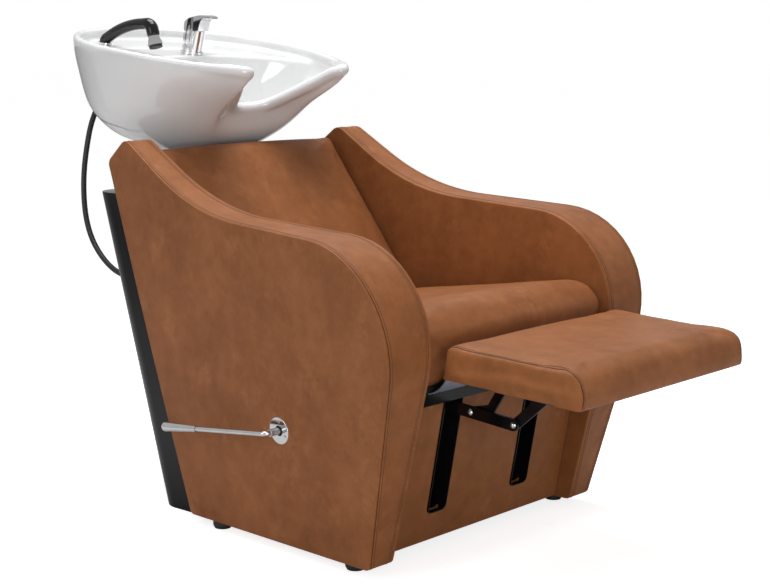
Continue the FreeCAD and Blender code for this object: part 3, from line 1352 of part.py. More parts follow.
tail_radius = size("tail_radius")
tail_low = size("tail_low_z")
neck_low = size("drain_neck_low_z")
tail = Part.makeCylinder(tail_radius, neck_low - tail_low, Vector(0, drain_y, tail_low))
collar_high = size("tail_collar_high")
collar = Part.makeCylinder(size("tail_collar_radius"), collar_high, Vector(0, drain_y, neck_low - collar_high / 2))
collar = collar.cut(Part.makeCylinder(neck, collar_high, Vector(0, drain_y, neck_low)))
tail = tail.fuse(collar)
tail = tail.cut(Part.makeCylinder(tail_radius - size("tail_wall"), neck_low, Vector(0, drain_y, 0)))
feature("drain_tailpiece", tail.removeSplitter())

strainer_thick = size("strainer_thick")
cap_z = flange_z + flange_thick
strainer = Part.makeCylinder(size("strainer_radius"), strainer_thick, Vector(0, drain_y, cap_z))
plug_high = size("strainer_plug_high")
strainer = strainer.fuse(Part.makeCylinder(bore - running, plug_high, Vector(0, drain_y, cap_z - plug_high)))
for index in range(6):
    angle = math.pi / 3 * index
    spot = Vector(size("strainer_hole_reach") * math.cos(angle),
                  drain_y + size("strainer_hole_reach") * math.sin(angle), cap_z - plug_high)
    strainer = strainer.cut(Part.makeCylinder(size("strainer_hole_radius"), plug_high + strainer_thick, spot))
feature("drain_strainer", strainer.removeSplitter())

# Mixer tap on the deck, in the deck's frame

body_top = deck_surface + size("mixer_body_high")
body_radius = size("mixer_body_radius")
flange_top = deck_surface + size("mixer_flange_thick")
body = deck_cylinder(size("mixer_flange_radius"), 0, mixer_v, deck_surface, flange_top)
body = body.fuse(deck_cylinder(body_radius, 0, mixer_v, flange_top, body_top))
nose_foot = Vector(0, mixer_v - size("mixer_nose_foot"), deck_surface)
nose_way = Vector(0, size("mixer_nose_foot") - size("mixer_nose_head"), body_top - deck_surface)
nose = Part.makeCylinder(size("mixer_nose_radius"), 2 * nose_way.Length, nose_foot - nose_way * 0.5, nose_way)
body = body.fuse(nose.common(deck_cylinder(2 * body_radius, 0, mixer_v, flange_top, body_top)))
body = body.fuse(deck_cylinder(size("mixer_shank_radius"), 0, mixer_v,
                               deck_under - size("mixer_shank_long"), deck_surface))
cartridge_radius = size("cartridge_radius")
cartridge_low = body_top - size("cartridge_deep")
body = body.cut(deck_cylinder(cartridge_radius + running, 0, mixer_v, cartridge_low, body_top))
for sign in (1, -1):
    body = body.fuse(deck_cylinder(size("mixer_inlet_radius"), sign * size("mixer_inlet_x"), mixer_v,
                                   deck_under - size("mixer_shank_long") - size("mixer_inlet_long"),
                                   deck_under - size("mixer_shank_long")))
feature("mixer_body", body.removeSplitter(), deck_frame)

nut_low = deck_under - size("mixer_nut_thick")
nut_corners = []
for index in range(6):
    angle = math.pi / 3 * index
    nut_corners.append((Vector(size("mixer_nut_radius") * math.cos(angle),
                               mixer_v + size("mixer_nut_radius") * math.sin(angle), nut_low), 0))
nut = prism(nut_corners, Vector(0, 0, size("mixer_nut_thick")))
nut = nut.cut(deck_cylinder(size("mixer_shank_radius"), 0, mixer_v, nut_low, deck_under))
feature("mixer_backnut", nut, deck_frame)

# Cartridge with a cross pin on a short neck behind the tap axis

pin_radius = size("lever_pin_radius")
pin_half = size("lever_pin_half")
pin_v = mixer_v + size("lever_pin_back")
lever_low = body_top + size("lever_lift_gap")
pin_w = lever_low + pin_radius
cartridge = deck_cylinder(cartridge_radius, 0, mixer_v, cartridge_low, body_top)
neck_block = Part.makeBox(2 * pin_half, size("lever_pin_back") - 2 * running, pin_w - cartridge_low,
                          Vector(-pin_half, mixer_v + 2 * running, cartridge_low))
neck_block = neck_block.common(deck_cylinder(cartridge_radius, 0, mixer_v, cartridge_low, pin_w))
cartridge = cartridge.fuse([neck_block, cylinder_x(pin_radius, -pin_half, pin_half, pin_v, pin_w)])
feature("mixer_cartridge", cartridge.removeSplitter(), deck_frame)

# Tap lever: a cap that grows out of the body and arches forwards to a thin tip. Each share
# pair is a distance from the tap axis and a height over the lever's foot.

lever_top_shares = ((0.325, 0.14), (0.206, 0.33), (0.0, 0.61), (-0.238, 0.82),
                    (-0.508, 0.958), (-0.794, 0.994), (-1.0, 0.944))
lever_under_shares = ((-1.0, 0.875), (-0.794, 0.875), (-0.635, 0.778), (-0.524, 0.444), (-0.468, 0.0))
lever_long = size("lever_long")
lever_high = size("lever_high")
profile_x = -2 * body_radius


def lever_point(along_share, high_share):
    return side_point(mixer_v + along_share * lever_long, lever_low + high_share * lever_high, profile_x)


def lever_curve(shares):
    curve = Part.BSplineCurve()
    curve.interpolate([lever_point(*share) for share in shares])
    return curve.toShape()


lever_heel = side_point(pin_v, lever_low, profile_x)
lever_profile = Part.Wire([
    lever_curve(lever_top_shares),
    Part.LineSegment(lever_point(*lever_top_shares[-1]), lever_point(*lever_under_shares[0])).toShape(),
    lever_curve(lever_under_shares),
    Part.LineSegment(lever_point(*lever_under_shares[-1]), lever_heel).toShape(),
    Part.LineSegment(lever_heel, lever_point(*lever_top_shares[0])).toShape(),
])
lever_side = Part.Face(lever_profile).extrude(Vector(4 * body_radius, 0, 0))
lever_tip_v = mixer_v - lever_long
lever_half = size("lever_half")
lever_tip_half = size("lever_tip_half")
tip_round = size("lever_tip_round")
lever_plan = prism((
    (Vector(-lever_half, mixer_v, lever_low), 0),
    (Vector(-lever_tip_half, lever_tip_v, lever_low), tip_round),
    (Vector(lever_tip_half, lever_tip_v, lever_low), tip_round),
    (Vector(lever_half, mixer_v, lever_low), 0),
), Vector(0, 0, 2 * lever_high))
lever_plan = lever_plan.fuse(deck_cylinder(body_radius, 0, mixer_v, lever_low, lever_low + 2 * lever_high))
pin_room = size("lever_room_gap")
lever_room = Part.makeBox(2 * (pin_half + pin_room), size("lever_pin_back") + pin_room, 2 * pin_radius + running,
                          Vector(-pin_half - pin_room, mixer_v - pin_room, lever_low))
lever_room = lever_room.fuse(cylinder_x(pin_radius + running, -pin_half - pin_room, pin_half + pin_room, pin_v, pin_w))
feature("mixer_lever", lever_side.common(lever_plan).cut(lever_room).removeSplitter(), deck_frame)

# Hand shower: holder with a tube through the deck, handle, head and spray face

holder = deck_cylinder(size("holder_radius"), shower_x, shower_v, deck_surface, deck_surface + size("holder_thick"))
holder = holder.fuse(deck_cylinder(size("holder_tube_radius"), shower_x, shower_v,
                                   -size("holder_tube_low"), deck_surface))
holder = holder.cut(deck_cylinder(size("holder_bore_radius"), shower_x, shower_v,
                                  -size("holder_tube_low"), deck_surface + size("holder_thick")))
feature("shower_holder", holder.removeSplitter(), deck_frame)

holder_top = deck_surface + size("holder_thick")
handle_radius = size("handle_radius")


def open_path(corners):
    """A wire of straight runs joined by tangent arcs through (point, radius)."""
    edges = []
    last = corners[0][0]
    for index in range(1, len(corners) - 1):
        point, radius = corners[index]
        before = corners[index - 1][0] - point
        after = corners[index + 1][0] - point
        before.normalize()
        after.normalize()
        half_angle = before.getAngle(after) / 2
        reach = radius / math.tan(half_angle)
        bisector = before + after
        bisector.normalize()
        start = point + before * reach
        end = point + after * reach
        middle = point + bisector * (radius / math.sin(half_angle) - radius)
        edges.append(Part.LineSegment(last, start).toShape())
        edges.append(Part.Arc(start, middle, end).toShape())
        last = end
    edges.append(Part.LineSegment(last, corners[-1][0]).toShape())
    return Part.Wire(edges)


handle_path = open_path((
    (Vector(shower_x, shower_v, holder_top), 0),
    (Vector(shower_x, shower_v, size("handle_bend_w")), size("handle_bend_round")),
    (Vector(shower_x, size("handle_mid_v"), size("handle_mid_w")), size("handle_mid_round")),
    (Vector(shower_x, size("handle_crest_v"), size("handle_crest_w")), size("handle_crest_round")),
    (Vector(shower_x, size("handle_head_v"), size("handle_head_w")), 0),
))
handle_circle = Part.Wire([Part.makeCircle(handle_radius, Vector(shower_x, shower_v, holder_top), Vector(0, 0, 1))])
handle = handle_path.makePipeShell([handle_circle], True, True)
stub = deck_cylinder(size("stub_radius"), shower_x, shower_v, -size("stub_low"), holder_top)
feature("shower_handle", handle.fuse(stub).removeSplitter(), deck_frame)

head_v = size("handle_head_v")
head_top = size("handle_head_w")
head_way = Vector(0, head_v - size("handle_crest_v"), head_top - size("handle_crest_w"))
head_way.normalize()
head_seat = Vector(shower_x, head_v, head_top)
head_high = size("head_high")
head = Part.makeCone(handle_radius, size("head_radius"), head_high, head_seat, head_way)
feature("shower_head", head, deck_frame)
face = Part.makeCylinder(size("face_radius"), size("face_high"), head_seat + head_way * head_high, head_way)
feature("spray_face", face, deck_frame)

# Shower hose: a tube of straight runs joined by tangent arcs, from the holder to the gland

route = [deck_frame.multVec(Vector(shower_x, shower_v, -size(low))) for low in ("stub_low", "hose_drop")]
for name, across, along, height in HOSE_ROUTE:
    route.append(Vector(size(name + "_x"), size(name + "_y"), size(name + "_z")))
arc_share = 0.45
hose_corners = [(route[0], 0)]
for index in range(1, len(route) - 1):
    before = route[index - 1] - route[index]
    after = route[index + 1] - route[index]
    half_angle = before.getAngle(after) / 2
    radius = arc_share * min(before.Length, after.Length) * math.tan(half_angle)
    turn = 180 - math.degrees(2 * half_angle)
    print("hose run %.0f turn %.0f radius %.0f" % (before.Length, turn, radius))
    hose_corners.append((route[index], radius))
hose_corners.append((route[-1], 0))
hose_path = open_path(hose_corners)
hose_radius = size("hose_radius")
first_way = route[1] - route[0]
hose_circle = Part.Wire([Part.makeCircle(hose_radius, route[0], first_way)])
hose = hose_path.makePipeShell([hose_circle], True, True)
print("hose length %.0f, volume share %.4f" % (
    hose_path.Length, hose.Volume / (math.pi * hose_radius ** 2 * hose_path.Length)))
feature("shower_hose", hose)

# Checks and export

document.recompute()
for obj in document.Objects:
    if "Invalid" in obj.State or "Error" in obj.State:
        raise RuntimeError("object failed: " + obj.Label)
names = [obj.Label for obj in finished]
if len(set(names)) != len(names):
    raise RuntimeError("two sub-parts share a label")
for obj in finished:
    if obj.Shape.isNull() or not obj.Shape.isValid():
        raise RuntimeError("bad shape: " + obj.Label)
os.makedirs("parts", exist_ok=True)
for obj in finished:
    obj.Shape.exportStep("parts/%s.step" % obj.Label)
print("%d sub-parts written" % len(finished))
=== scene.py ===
# %% [markdown]
# # A salon wash chair
#
# The chair is an armchair between two flared, leather-covered side panels. Its leg rest
# swings out on a linkage, a leaning sheet-metal column stands behind it, and a ceramic
# basin with a tap and a hand shower tilts on top. The steel and chrome parts come from
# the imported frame. The leather, the basin's glaze and the hose are made here.

import json
import math

import bpy
from mathutils import Matrix, Vector

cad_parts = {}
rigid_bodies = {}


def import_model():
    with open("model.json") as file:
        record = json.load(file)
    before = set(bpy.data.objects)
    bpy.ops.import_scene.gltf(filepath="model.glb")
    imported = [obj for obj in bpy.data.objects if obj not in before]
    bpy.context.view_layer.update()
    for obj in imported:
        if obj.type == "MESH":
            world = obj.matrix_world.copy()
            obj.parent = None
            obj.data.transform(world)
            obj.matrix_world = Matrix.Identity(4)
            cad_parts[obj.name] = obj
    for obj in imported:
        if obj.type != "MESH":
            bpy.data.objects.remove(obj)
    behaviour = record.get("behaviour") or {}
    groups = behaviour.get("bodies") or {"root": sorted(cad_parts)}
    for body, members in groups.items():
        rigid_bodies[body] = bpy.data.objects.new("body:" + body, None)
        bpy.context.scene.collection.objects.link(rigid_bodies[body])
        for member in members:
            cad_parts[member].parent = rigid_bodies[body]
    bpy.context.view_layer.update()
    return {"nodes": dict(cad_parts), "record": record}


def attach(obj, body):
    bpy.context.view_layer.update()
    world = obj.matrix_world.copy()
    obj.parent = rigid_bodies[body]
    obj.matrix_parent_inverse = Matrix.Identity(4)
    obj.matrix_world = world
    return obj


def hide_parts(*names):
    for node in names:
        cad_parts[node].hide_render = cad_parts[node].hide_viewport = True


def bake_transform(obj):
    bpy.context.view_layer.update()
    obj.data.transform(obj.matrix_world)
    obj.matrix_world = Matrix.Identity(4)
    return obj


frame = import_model()
nodes = frame["nodes"]
bpy.ops.object.select_all(action="DESELECT")

# %% [markdown]
# ## Camera
#
# The camera was fitted to the chair's straight edges: it stands in front of the chair on
# its right, about as high as the basin's rim, and looks slightly down.

# %% Set the camera
camera_place = Vector((-2.4034, -2.2014, 0.9693))
camera_way = Vector((0.7363, 0.6573, -0.16))
bpy.ops.object.camera_add(location=camera_place)
camera = bpy.context.object
camera.name = "photo_camera"
camera.rotation_euler = camera_way.to_track_quat("-Z", "Y").to_euler()
camera.data.lens = 76.87
camera.data.sensor_width = 36
camera.data.clip_end = 100
bpy.context.scene.camera = camera
bpy.context.scene.view_settings.view_transform = "Standard"

# %% [markdown]
# ## Small tools
#
# A few short functions that the pieces share: choosing one object, applying a modifier,
# cutting one piece out of another, copying a node, and making slabs from outlines with
# rounded corners.

# %% Tools for every piece


def choose(piece):
    bpy.ops.object.select_all(action="DESELECT")
    piece.select_set(True)
    bpy.context.view_layer.objects.active = piece


def apply_modifier(piece, kind, **settings):
    """Adds one modifier, sets it and applies it."""
    choose(piece)
    bpy.ops.object.modifier_add(type=kind)
    modifier = piece.modifiers[-1]
    for name, value in settings.items():
        setattr(modifier, name, value)
    bpy.ops.object.modifier_apply(modifier=modifier.name)


def drop(*pieces):
    for piece in pieces:
        bpy.data.objects.remove(piece, do_unlink=True)


def block(middle, sizes, turn=0.0):
    """A box round a middle point, turned about the chair's width."""
    bpy.ops.mesh.primitive_cube_add(size=1, location=middle, rotation=(turn, 0, 0))
    piece = bpy.context.object
    piece.scale = sizes
    return piece


def cut_away(piece, cutter, **settings):
    """Takes the cutter's shape out of a piece and removes the cutter."""
    apply_modifier(piece, "BOOLEAN", object=cutter, operation="DIFFERENCE", solver="EXACT", **settings)
    drop(cutter)


def clamped(value):
    return min(1.0, max(0.0, value))


def to_mesh(curve):
    choose(curve)
    bpy.ops.object.convert(target="MESH")
    return bpy.context.object


def tidy_normals(piece):
    choose(piece)
    bpy.ops.object.mode_set(mode="EDIT")
    bpy.ops.mesh.select_all(action="SELECT")
    bpy.ops.mesh.remove_doubles(threshold=0.00002)
    bpy.ops.mesh.normals_make_consistent(inside=False)
    bpy.ops.object.mode_set(mode="OBJECT")


def copy_node(node, name):
    """A free copy of a frame node, with its loose faces joined up."""
    choose(nodes[node])
    bpy.ops.object.duplicate()
    piece = bpy.context.object
    bpy.ops.object.parent_clear(type="CLEAR_KEEP_TRANSFORM")
    bpy.ops.object.transform_apply(location=True, rotation=True, scale=True)
    piece.name = name
    piece.data.materials.clear()
    choose(piece)
    bpy.ops.mesh.customdata_custom_splitnormals_clear()
    tidy_normals(piece)
    return piece


def rounded(corners, steps=10):
    """Points of a closed flat outline from (y, z, radius) corners."""
    points = []
    for index, (y, z, radius) in enumerate(corners):
        here = Vector((y, z))
        before = (Vector(corners[index - 1][:2]) - here).normalized()
        after = (Vector(corners[(index + 1) % len(corners)][:2]) - here).normalized()
        if radius == 0:
            points.append(here)
            continue
        half = before.angle(after) / 2
        middle = here + (before + after).normalized() * radius / math.sin(half)
        start = here + before * radius / math.tan(half) - middle
        end = here + after * radius / math.tan(half) - middle
        swing = start.angle_signed(end)
        for step in range(steps + 1):
            turned = start.copy()
            turned.rotate(Matrix.Rotation(-swing * step / steps, 2))
            points.append(middle + turned)
    return points


def draw_curve(name, points, cyclic, flat=False):
    """A curve of straight steps through the given points."""
    shape = bpy.data.curves.new(name, "CURVE")
    shape.dimensions = "2D" if flat else "3D"
    spline = shape.splines.new("POLY")
    spline.points.add(len(points) - 1)
    for point, place in zip(spline.points, points):
        point.co = (*place, 0, 1)[:4] if len(place) == 2 else (*place, 1)
    spline.use_cyclic_u = cyclic
    piece = bpy.data.objects.new(name, shape)
    bpy.context.scene.collection.objects.link(piece)
    return piece


def thickened(name, outline, half_thick, edge, edge_steps=3):
    """A flat outline made thick, with its edges rounded."""
    piece = draw_curve(name, outline, True, flat=True)
    piece.data.fill_mode = "BOTH"
    piece.data.extrude = half_thick - edge
    piece.data.bevel_depth = edge
    piece.data.offset = -edge
    piece.data.bevel_resolution = edge_steps
    return to_mesh(piece)


def slab(name, outline, low_x, high_x, edge, edge_steps=3):
    """An upholstered slab that stands upright between two places across the chair."""
    piece = thickened(name, outline, (high_x - low_x) / 2, edge, edge_steps)
    piece.rotation_euler = (math.pi / 2, 0, math.pi / 2)
    piece.location = ((low_x + high_x) / 2, 0, 0)
    bpy.ops.object.transform_apply(location=True, rotation=True, scale=True)
    piece.name = name
    tidy_normals(piece)
    return piece


# %% [markdown]
# ## The shower hose
#
# A black rubber hose leaves the holder's tube under the basin and goes back into the
# column through a gland. It hangs in one easy arc. Its line is led by the same points as
# in the construction, and a round tube follows that line.

# %% Shower hose
hose_points = [
    (-0.130, 0.6472, 0.8713), (-0.130, 0.6554, 0.8159), (-0.136, 0.684, 0.766), (-0.146, 0.690, 0.712),
    (-0.156, 0.690, 0.658), (-0.164, 0.683, 0.605), (-0.172, 0.667, 0.556), (-0.181, 0.638, 0.515),
    (-0.189, 0.599, 0.484), (-0.195, 0.561, 0.464), (-0.199, 0.528, 0.453), (-0.200, 0.500, 0.450),
    (-0.200, 0.475, 0.450)]
hose_line = bpy.data.curves.new("hose_line", "CURVE")
hose_line.dimensions = "3D"
hose_spline = hose_line.splines.new("NURBS")
hose_spline.points.add(len(hose_points) - 1)
for point, place in zip(hose_spline.points, hose_points):
    point.co = (*place, 1)
hose_spline.order_u = 3
hose_spline.use_endpoint_u = True
hose_spline.resolution_u = 12
hose_guide = bpy.data.objects.new("hose_guide", hose_line)
bpy.context.scene.collection.objects.link(hose_guide)
bpy.context.view_layer.update()
hose_mesh = bpy.data.meshes.new_from_object(hose_guide)
hose_line.bevel_depth = 0.006
hose_line.bevel_resolution = 5
hose_line.use_fill_caps = True
hose = to_mesh(hose_guide)
hose.name = "rubber_hose"
tidy_normals(hose)
bpy.ops.object.shade_smooth_by_angle(angle=math.radians(50))
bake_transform(hose)
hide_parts("shower_hose")

# %% [markdown]
# ## Shader groups
#
# Leather is cloudy: the dye takes unevenly and lightens where the hide is pulled. Its
# grain is a net of small cells over soft creases. Steel and chrome carry faint scratches
# and smudges. Each effect is one group, and the smudges are shared by several materials.

# %% Shader groups


def new_group(name, inputs, outputs):
    group = bpy.data.node_groups.new(name, "ShaderNodeTree")
    for label, kind, value in inputs:
        socket = group.interface.new_socket(label, in_out="INPUT", socket_type=kind)
        if value is not None:
            socket.default_value = value
    for label, kind in outputs:
        group.interface.new_socket(label, in_out="OUTPUT", socket_type=kind)
    return group, group.nodes.new("NodeGroupInput"), group.nodes.new("NodeGroupOutput")


def noise(tree, place, scale, detail=4.0, rough=0.55):
    node = tree.nodes.new("ShaderNodeTexNoise")
    node.inputs["Scale"].default_value = scale
    node.inputs["Detail"].default_value = detail
    node.inputs["Roughness"].default_value = rough
    tree.links.new(place, node.inputs["Vector"])
    return node.outputs["Fac"]


def spread(tree, value, low, high, to_low=0.0, to_high=1.0):
    node = tree.nodes.new("ShaderNodeMapRange")
    node.inputs["From Min"].default_value = low
    node.inputs["From Max"].default_value = high
    node.inputs["To Min"].default_value = to_low
    node.inputs["To Max"].default_value = to_high
    tree.links.new(value, node.inputs["Value"])
    return node.outputs["Result"]


def feed(tree, value, socket):
    """Links another node's output to a socket, or writes a plain value into it."""
    if isinstance(value, bpy.types.NodeSocket):
        tree.links.new(value, socket)
    else:
        socket.default_value = value


# A mix node keeps its colour sockets after those for numbers and vectors
mix_share, mix_low, mix_high, mix_result = 0, 6, 7, 2


def mixed(tree, share, low, high):
    node = tree.nodes.new("ShaderNodeMix")
    node.data_type = "RGBA"
    feed(tree, share, node.inputs[mix_share])
    feed(tree, low, node.inputs[mix_low])
    feed(tree, high, node.inputs[mix_high])
    return node.outputs[mix_result]


def maths(tree, operation, first, second):
    node = tree.nodes.new("ShaderNodeMath")
    node.operation = operation
    feed(tree, first, node.inputs[0])
    feed(tree, second, node.inputs[1])
    return node.outputs[0]


# Cloudy dye: large soft patches, smaller mottling and a few pale rubbed spots
dye_group, dye_in, dye_out = new_group(
    "cloudy_dye",
    [("Place", "NodeSocketVector", None),
     ("Deep", "NodeSocketColor", (0.215, 0.073, 0.022, 1)),
     ("Pale", "NodeSocketColor", (0.335, 0.12, 0.04, 1)),
     ("Rubbed", "NodeSocketColor", (0.45, 0.18, 0.072, 1))],
    [("Color", "NodeSocketColor"), ("Patch", "NodeSocketFloat")])
patches = noise(dye_group, dye_in.outputs["Place"], 8.0, 8.0, 0.66)
mottle = noise(dye_group, dye_in.outputs["Place"], 34.0, 5.0, 0.65)
spots = noise(dye_group, dye_in.outputs["Place"], 13.0, 8.0, 0.7)
blend_share = maths(dye_group, "ADD", spread(dye_group, patches, 0.36, 0.66, 0.0, 0.6),
                    spread(dye_group, mottle, 0.38, 0.66, 0.0, 0.4))
dyed = mixed(dye_group, blend_share, dye_in.outputs["Deep"], dye_in.outputs["Pale"])
rubbed_share = spread(dye_group, spots, 0.57, 0.76, 0.0, 0.6)
dyed = mixed(dye_group, rubbed_share, dyed, dye_in.outputs["Rubbed"])
dye_group.links.new(dyed, dye_out.inputs["Color"])
dye_group.links.new(patches, dye_out.inputs["Patch"])

# Hide grain: small cells with creases between them, over slow hollows
grain_group, grain_in, grain_out = new_group(
    "hide_grain", [("Place", "NodeSocketVector", None), ("Cells", "NodeSocketFloat", 420.0)],
    [("Height", "NodeSocketFloat"), ("Creases", "NodeSocketFloat")])
cells = grain_group.nodes.new("ShaderNodeTexVoronoi")
cells.feature = "DISTANCE_TO_EDGE"
cells.inputs["Randomness"].default_value = 0.9
grain_group.links.new(grain_in.outputs["Place"], cells.inputs["Vector"])
grain_group.links.new(grain_in.outputs["Cells"], cells.inputs["Scale"])
crease = spread(grain_group, cells.outputs["Distance"], 0.0, 0.12)
slow = noise(grain_group, grain_in.outputs["Place"], 9.0, 3.0)
fine = noise(grain_group, grain_in.outputs["Place"], 160.0, 4.0)
crease_share, slow_share, fine_share = 0.25, 1.6, 0.4
height = maths(grain_group, "ADD", maths(grain_group, "MULTIPLY", crease, crease_share),
               maths(grain_group, "ADD", maths(grain_group, "MULTIPLY", slow, slow_share),
                     maths(grain_group, "MULTIPLY", fine, fine_share)))
grain_group.links.new(height, grain_out.inputs["Height"])
grain_group.links.new(crease, grain_out.inputs["Creases"])

# Handling marks: smudges and fine scratches that change the roughness of hard parts
marks_group, marks_in, marks_out = new_group(
    "handling_marks",
    [("Place", "NodeSocketVector", None), ("Low", "NodeSocketFloat", 0.1),
     ("High", "NodeSocketFloat", 0.25)],
    [("Roughness", "NodeSocketFloat"), ("Height", "NodeSocketFloat"), ("Smudge", "NodeSocketFloat")])
smudge = spread(marks_group, noise(marks_group, marks_in.outputs["Place"], 14.0, 5.0), 0.35, 0.7)
stretch = marks_group.nodes.new("ShaderNodeMapping")
stretch.inputs["Scale"].default_value = (1.0, 1.0, 18.0)
marks_group.links.new(marks_in.outputs["Place"], stretch.inputs["Vector"])
scratch = noise(marks_group, stretch.outputs["Vector"], 90.0, 2.0)
rise = marks_group.nodes.new("ShaderNodeMapRange")
marks_group.links.new(smudge, rise.inputs["Value"])
marks_group.links.new(marks_in.outputs["Low"], rise.inputs["To Min"])
marks_group.links.new(marks_in.outputs["High"], rise.inputs["To Max"])
marks_group.links.new(rise.outputs["Result"], marks_out.inputs["Roughness"])
marks_group.links.new(scratch, marks_out.inputs["Height"])
marks_group.links.new(smudge, marks_out.inputs["Smudge"])
print("shader groups:", [group.name for group in (dye_group, grain_group, marks_group)])

# %% [markdown]
# ## Materials
#
# The leather is a brown, waxed hide with a soft sheen. The basin is white glaze, and the
# tap is chrome. Sheet steel is painted gloss black or satin grey, and the hand shower is
# gloss plastic. Plywood and white plastic are seen only from below and behind.

# %% Materials


def new_material(name):
    material = bpy.data.materials.new(name)
    material.use_nodes = True
    tree = material.node_tree
    place = tree.nodes.new("ShaderNodeTexCoord").outputs["Object"]
    return material, tree, tree.nodes["Principled BSDF"], place


def use_group(tree, group, place, **settings):
    node = tree.nodes.new("ShaderNodeGroup")
    node.node_tree = group
    tree.links.new(place, node.inputs["Place"])
    for name, value in settings.items():
        node.inputs[name].default_value = value
    return node


def bump(tree, shader, value, strength, distance):
    node = tree.nodes.new("ShaderNodeBump")
    node.inputs["Strength"].default_value = strength
    node.inputs["Distance"].default_value = distance
    tree.links.new(value, node.inputs["Height"])
    tree.links.new(node.outputs["Normal"], shader.inputs["Normal"])


leather, tree, shader, place = new_material("brown_leather")
dye = use_group(tree, dye_group, place)
grain = use_group(tree, grain_group, place)
crease_colour = (0.16, 0.055, 0.025, 1)
crease_mask = spread(tree, grain.outputs["Creases"], 0.0, 1.0, 0.88, 1.0)
tree.links.new(mixed(tree, crease_mask, crease_colour, dye.outputs["Color"]), shader.inputs["Base Color"])
tree.links.new(spread(tree, dye.outputs["Patch"], 0.3, 0.7, 0.5, 0.4), shader.inputs["Roughness"])
shader.inputs["Specular IOR Level"].default_value = 0.2
shader.inputs["Specular Tint"].default_value = (1, 0.84, 0.7, 1)
shader.inputs["Sheen Weight"].default_value = 0.02
shader.inputs["Sheen Roughness"].default_value = 0.5
bump(tree, shader, grain.outputs["Height"], 0.5, 0.0012)

thread_material, tree, shader, place = new_material("brown_thread")
twist = noise(tree, place, 900.0, 2.0)
thread_dark, thread_light = (0.085, 0.03, 0.012, 1), (0.15, 0.055, 0.024, 1)
tree.links.new(mixed(tree, spread(tree, twist, 0.3, 0.7), thread_dark, thread_light),
               shader.inputs["Base Color"])
shader.inputs["Roughness"].default_value = 0.6
bump(tree, shader, twist, 0.4, 0.0003)

# Near-black leather colour that paints the shade inside the seam grooves, with a faint grain
seam_shade_material, tree, shader, place = new_material("seam_shadow_leather")
seam_shade_grain = noise(tree, place, 300.0, 2.0)
seam_shade_deep, seam_shade_pale = (0.03, 0.011, 0.005, 1), (0.06, 0.022, 0.009, 1)
tree.links.new(mixed(tree, seam_shade_grain, seam_shade_deep, seam_shade_pale), shader.inputs["Base Color"])
shader.inputs["Roughness"].default_value = 0.8
shader.inputs["Specular IOR Level"].default_value = 0.1
bump(tree, shader, seam_shade_grain, 0.3, 0.0003)

ceramic, tree, shader, place = new_material("white_glaze")
marks = use_group(tree, marks_group, place, Low=0.04, High=0.1)
tint = noise(tree, place, 3.0, 3.0)
glaze_dark, glaze_light = (0.73, 0.735, 0.74, 1), (0.77, 0.77, 0.77, 1)
tree.links.new(mixed(tree, tint, glaze_dark, glaze_light), shader.inputs["Base Color"])
tree.links.new(marks.outputs["Roughness"], shader.inputs["Roughness"])
shader.inputs["Coat Weight"].default_value = 0.6
shader.inputs["Coat Roughness"].default_value = 0.03
bump(tree, shader, noise(tree, place, 26.0, 2.0), 0.05, 0.001)


def painted(name, dark, light, low, high, metallic=0.0, shine=0.5, speckle=260.0):
    """A hard finish: two near colours in slow patches, smudged roughness and a fine bump."""
    material, tree, shader, place = new_material(name)
    marks = use_group(tree, marks_group, place, Low=low, High=high)
    tree.links.new(mixed(tree, marks.outputs["Smudge"], dark, light), shader.inputs["Base Color"])
    tree.links.new(marks.outputs["Roughness"], shader.inputs["Roughness"])
    shader.inputs["Metallic"].default_value = metallic
    shader.inputs["Specular IOR Level"].default_value = shine
    texture = maths(tree, "ADD", noise(tree, place, speckle, 2.0),
                    maths(tree, "MULTIPLY", marks.outputs["Height"], 0.3))
    bump(tree, shader, texture, 0.15, 0.0002)
    return material


materials = {
    "leather": leather,
    "ceramic": ceramic,
    "black_steel": painted("black_gloss_paint", (0.003, 0.003, 0.004, 1), (0.007, 0.007, 0.008, 1),
                           0.16, 0.28, shine=0.3),
    "grey_steel": painted("grey_satin_paint", (0.26, 0.29, 0.36, 1), (0.36, 0.39, 0.47, 1),
                          0.3, 0.45, metallic=0.3),
    "dark_tube": painted("dark_tube_paint", (0.012, 0.012, 0.013, 1), (0.022, 0.022, 0.024, 1),
                         0.35, 0.5),
    "chrome": painted("chrome_plating", (0.6, 0.6, 0.61, 1), (0.68, 0.68, 0.69, 1),
                      0.03, 0.08, metallic=1.0),
    "zinc": painted("zinc_plating", (0.45, 0.45, 0.46, 1), (0.56, 0.56, 0.57, 1),
                    0.25, 0.4, metallic=1.0),
    "black_plastic": painted("gloss_black_plastic", (0.004, 0.004, 0.005, 1), (0.009, 0.009, 0.01, 1),
                             0.06, 0.13, shine=0.35),
    "matte_black": painted("matte_black_plastic", (0.014, 0.014, 0.014, 1), (0.026, 0.026, 0.026, 1),
                           0.5, 0.65),
    "white_plastic": painted("white_plastic", (0.68, 0.68, 0.66, 1), (0.76, 0.76, 0.75, 1),
                             0.4, 0.5),
    "rubber": painted("black_rubber", (0.01, 0.01, 0.01, 1), (0.02, 0.02, 0.021, 1),
                      0.4, 0.55, speckle=500.0),
}
wood, tree, shader, place = new_material("birch_plywood")
along_grain = tree.nodes.new("ShaderNodeMapping")
along_grain.inputs["Scale"].default_value = (1.0, 14.0, 14.0)
tree.links.new(place, along_grain.inputs["Vector"])
layers = noise(tree, along_grain.outputs["Vector"], 9.0, 6.0, 0.6)
wood_dark, wood_light = (0.38, 0.24, 0.12, 1), (0.56, 0.38, 0.21, 1)
tree.links.new(mixed(tree, spread(tree, layers, 0.3, 0.7), wood_dark, wood_light),
               shader.inputs["Base Color"])
shader.inputs["Roughness"].default_value = 0.65
bump(tree, shader, layers, 0.2, 0.0004)
materials["plywood"] = wood

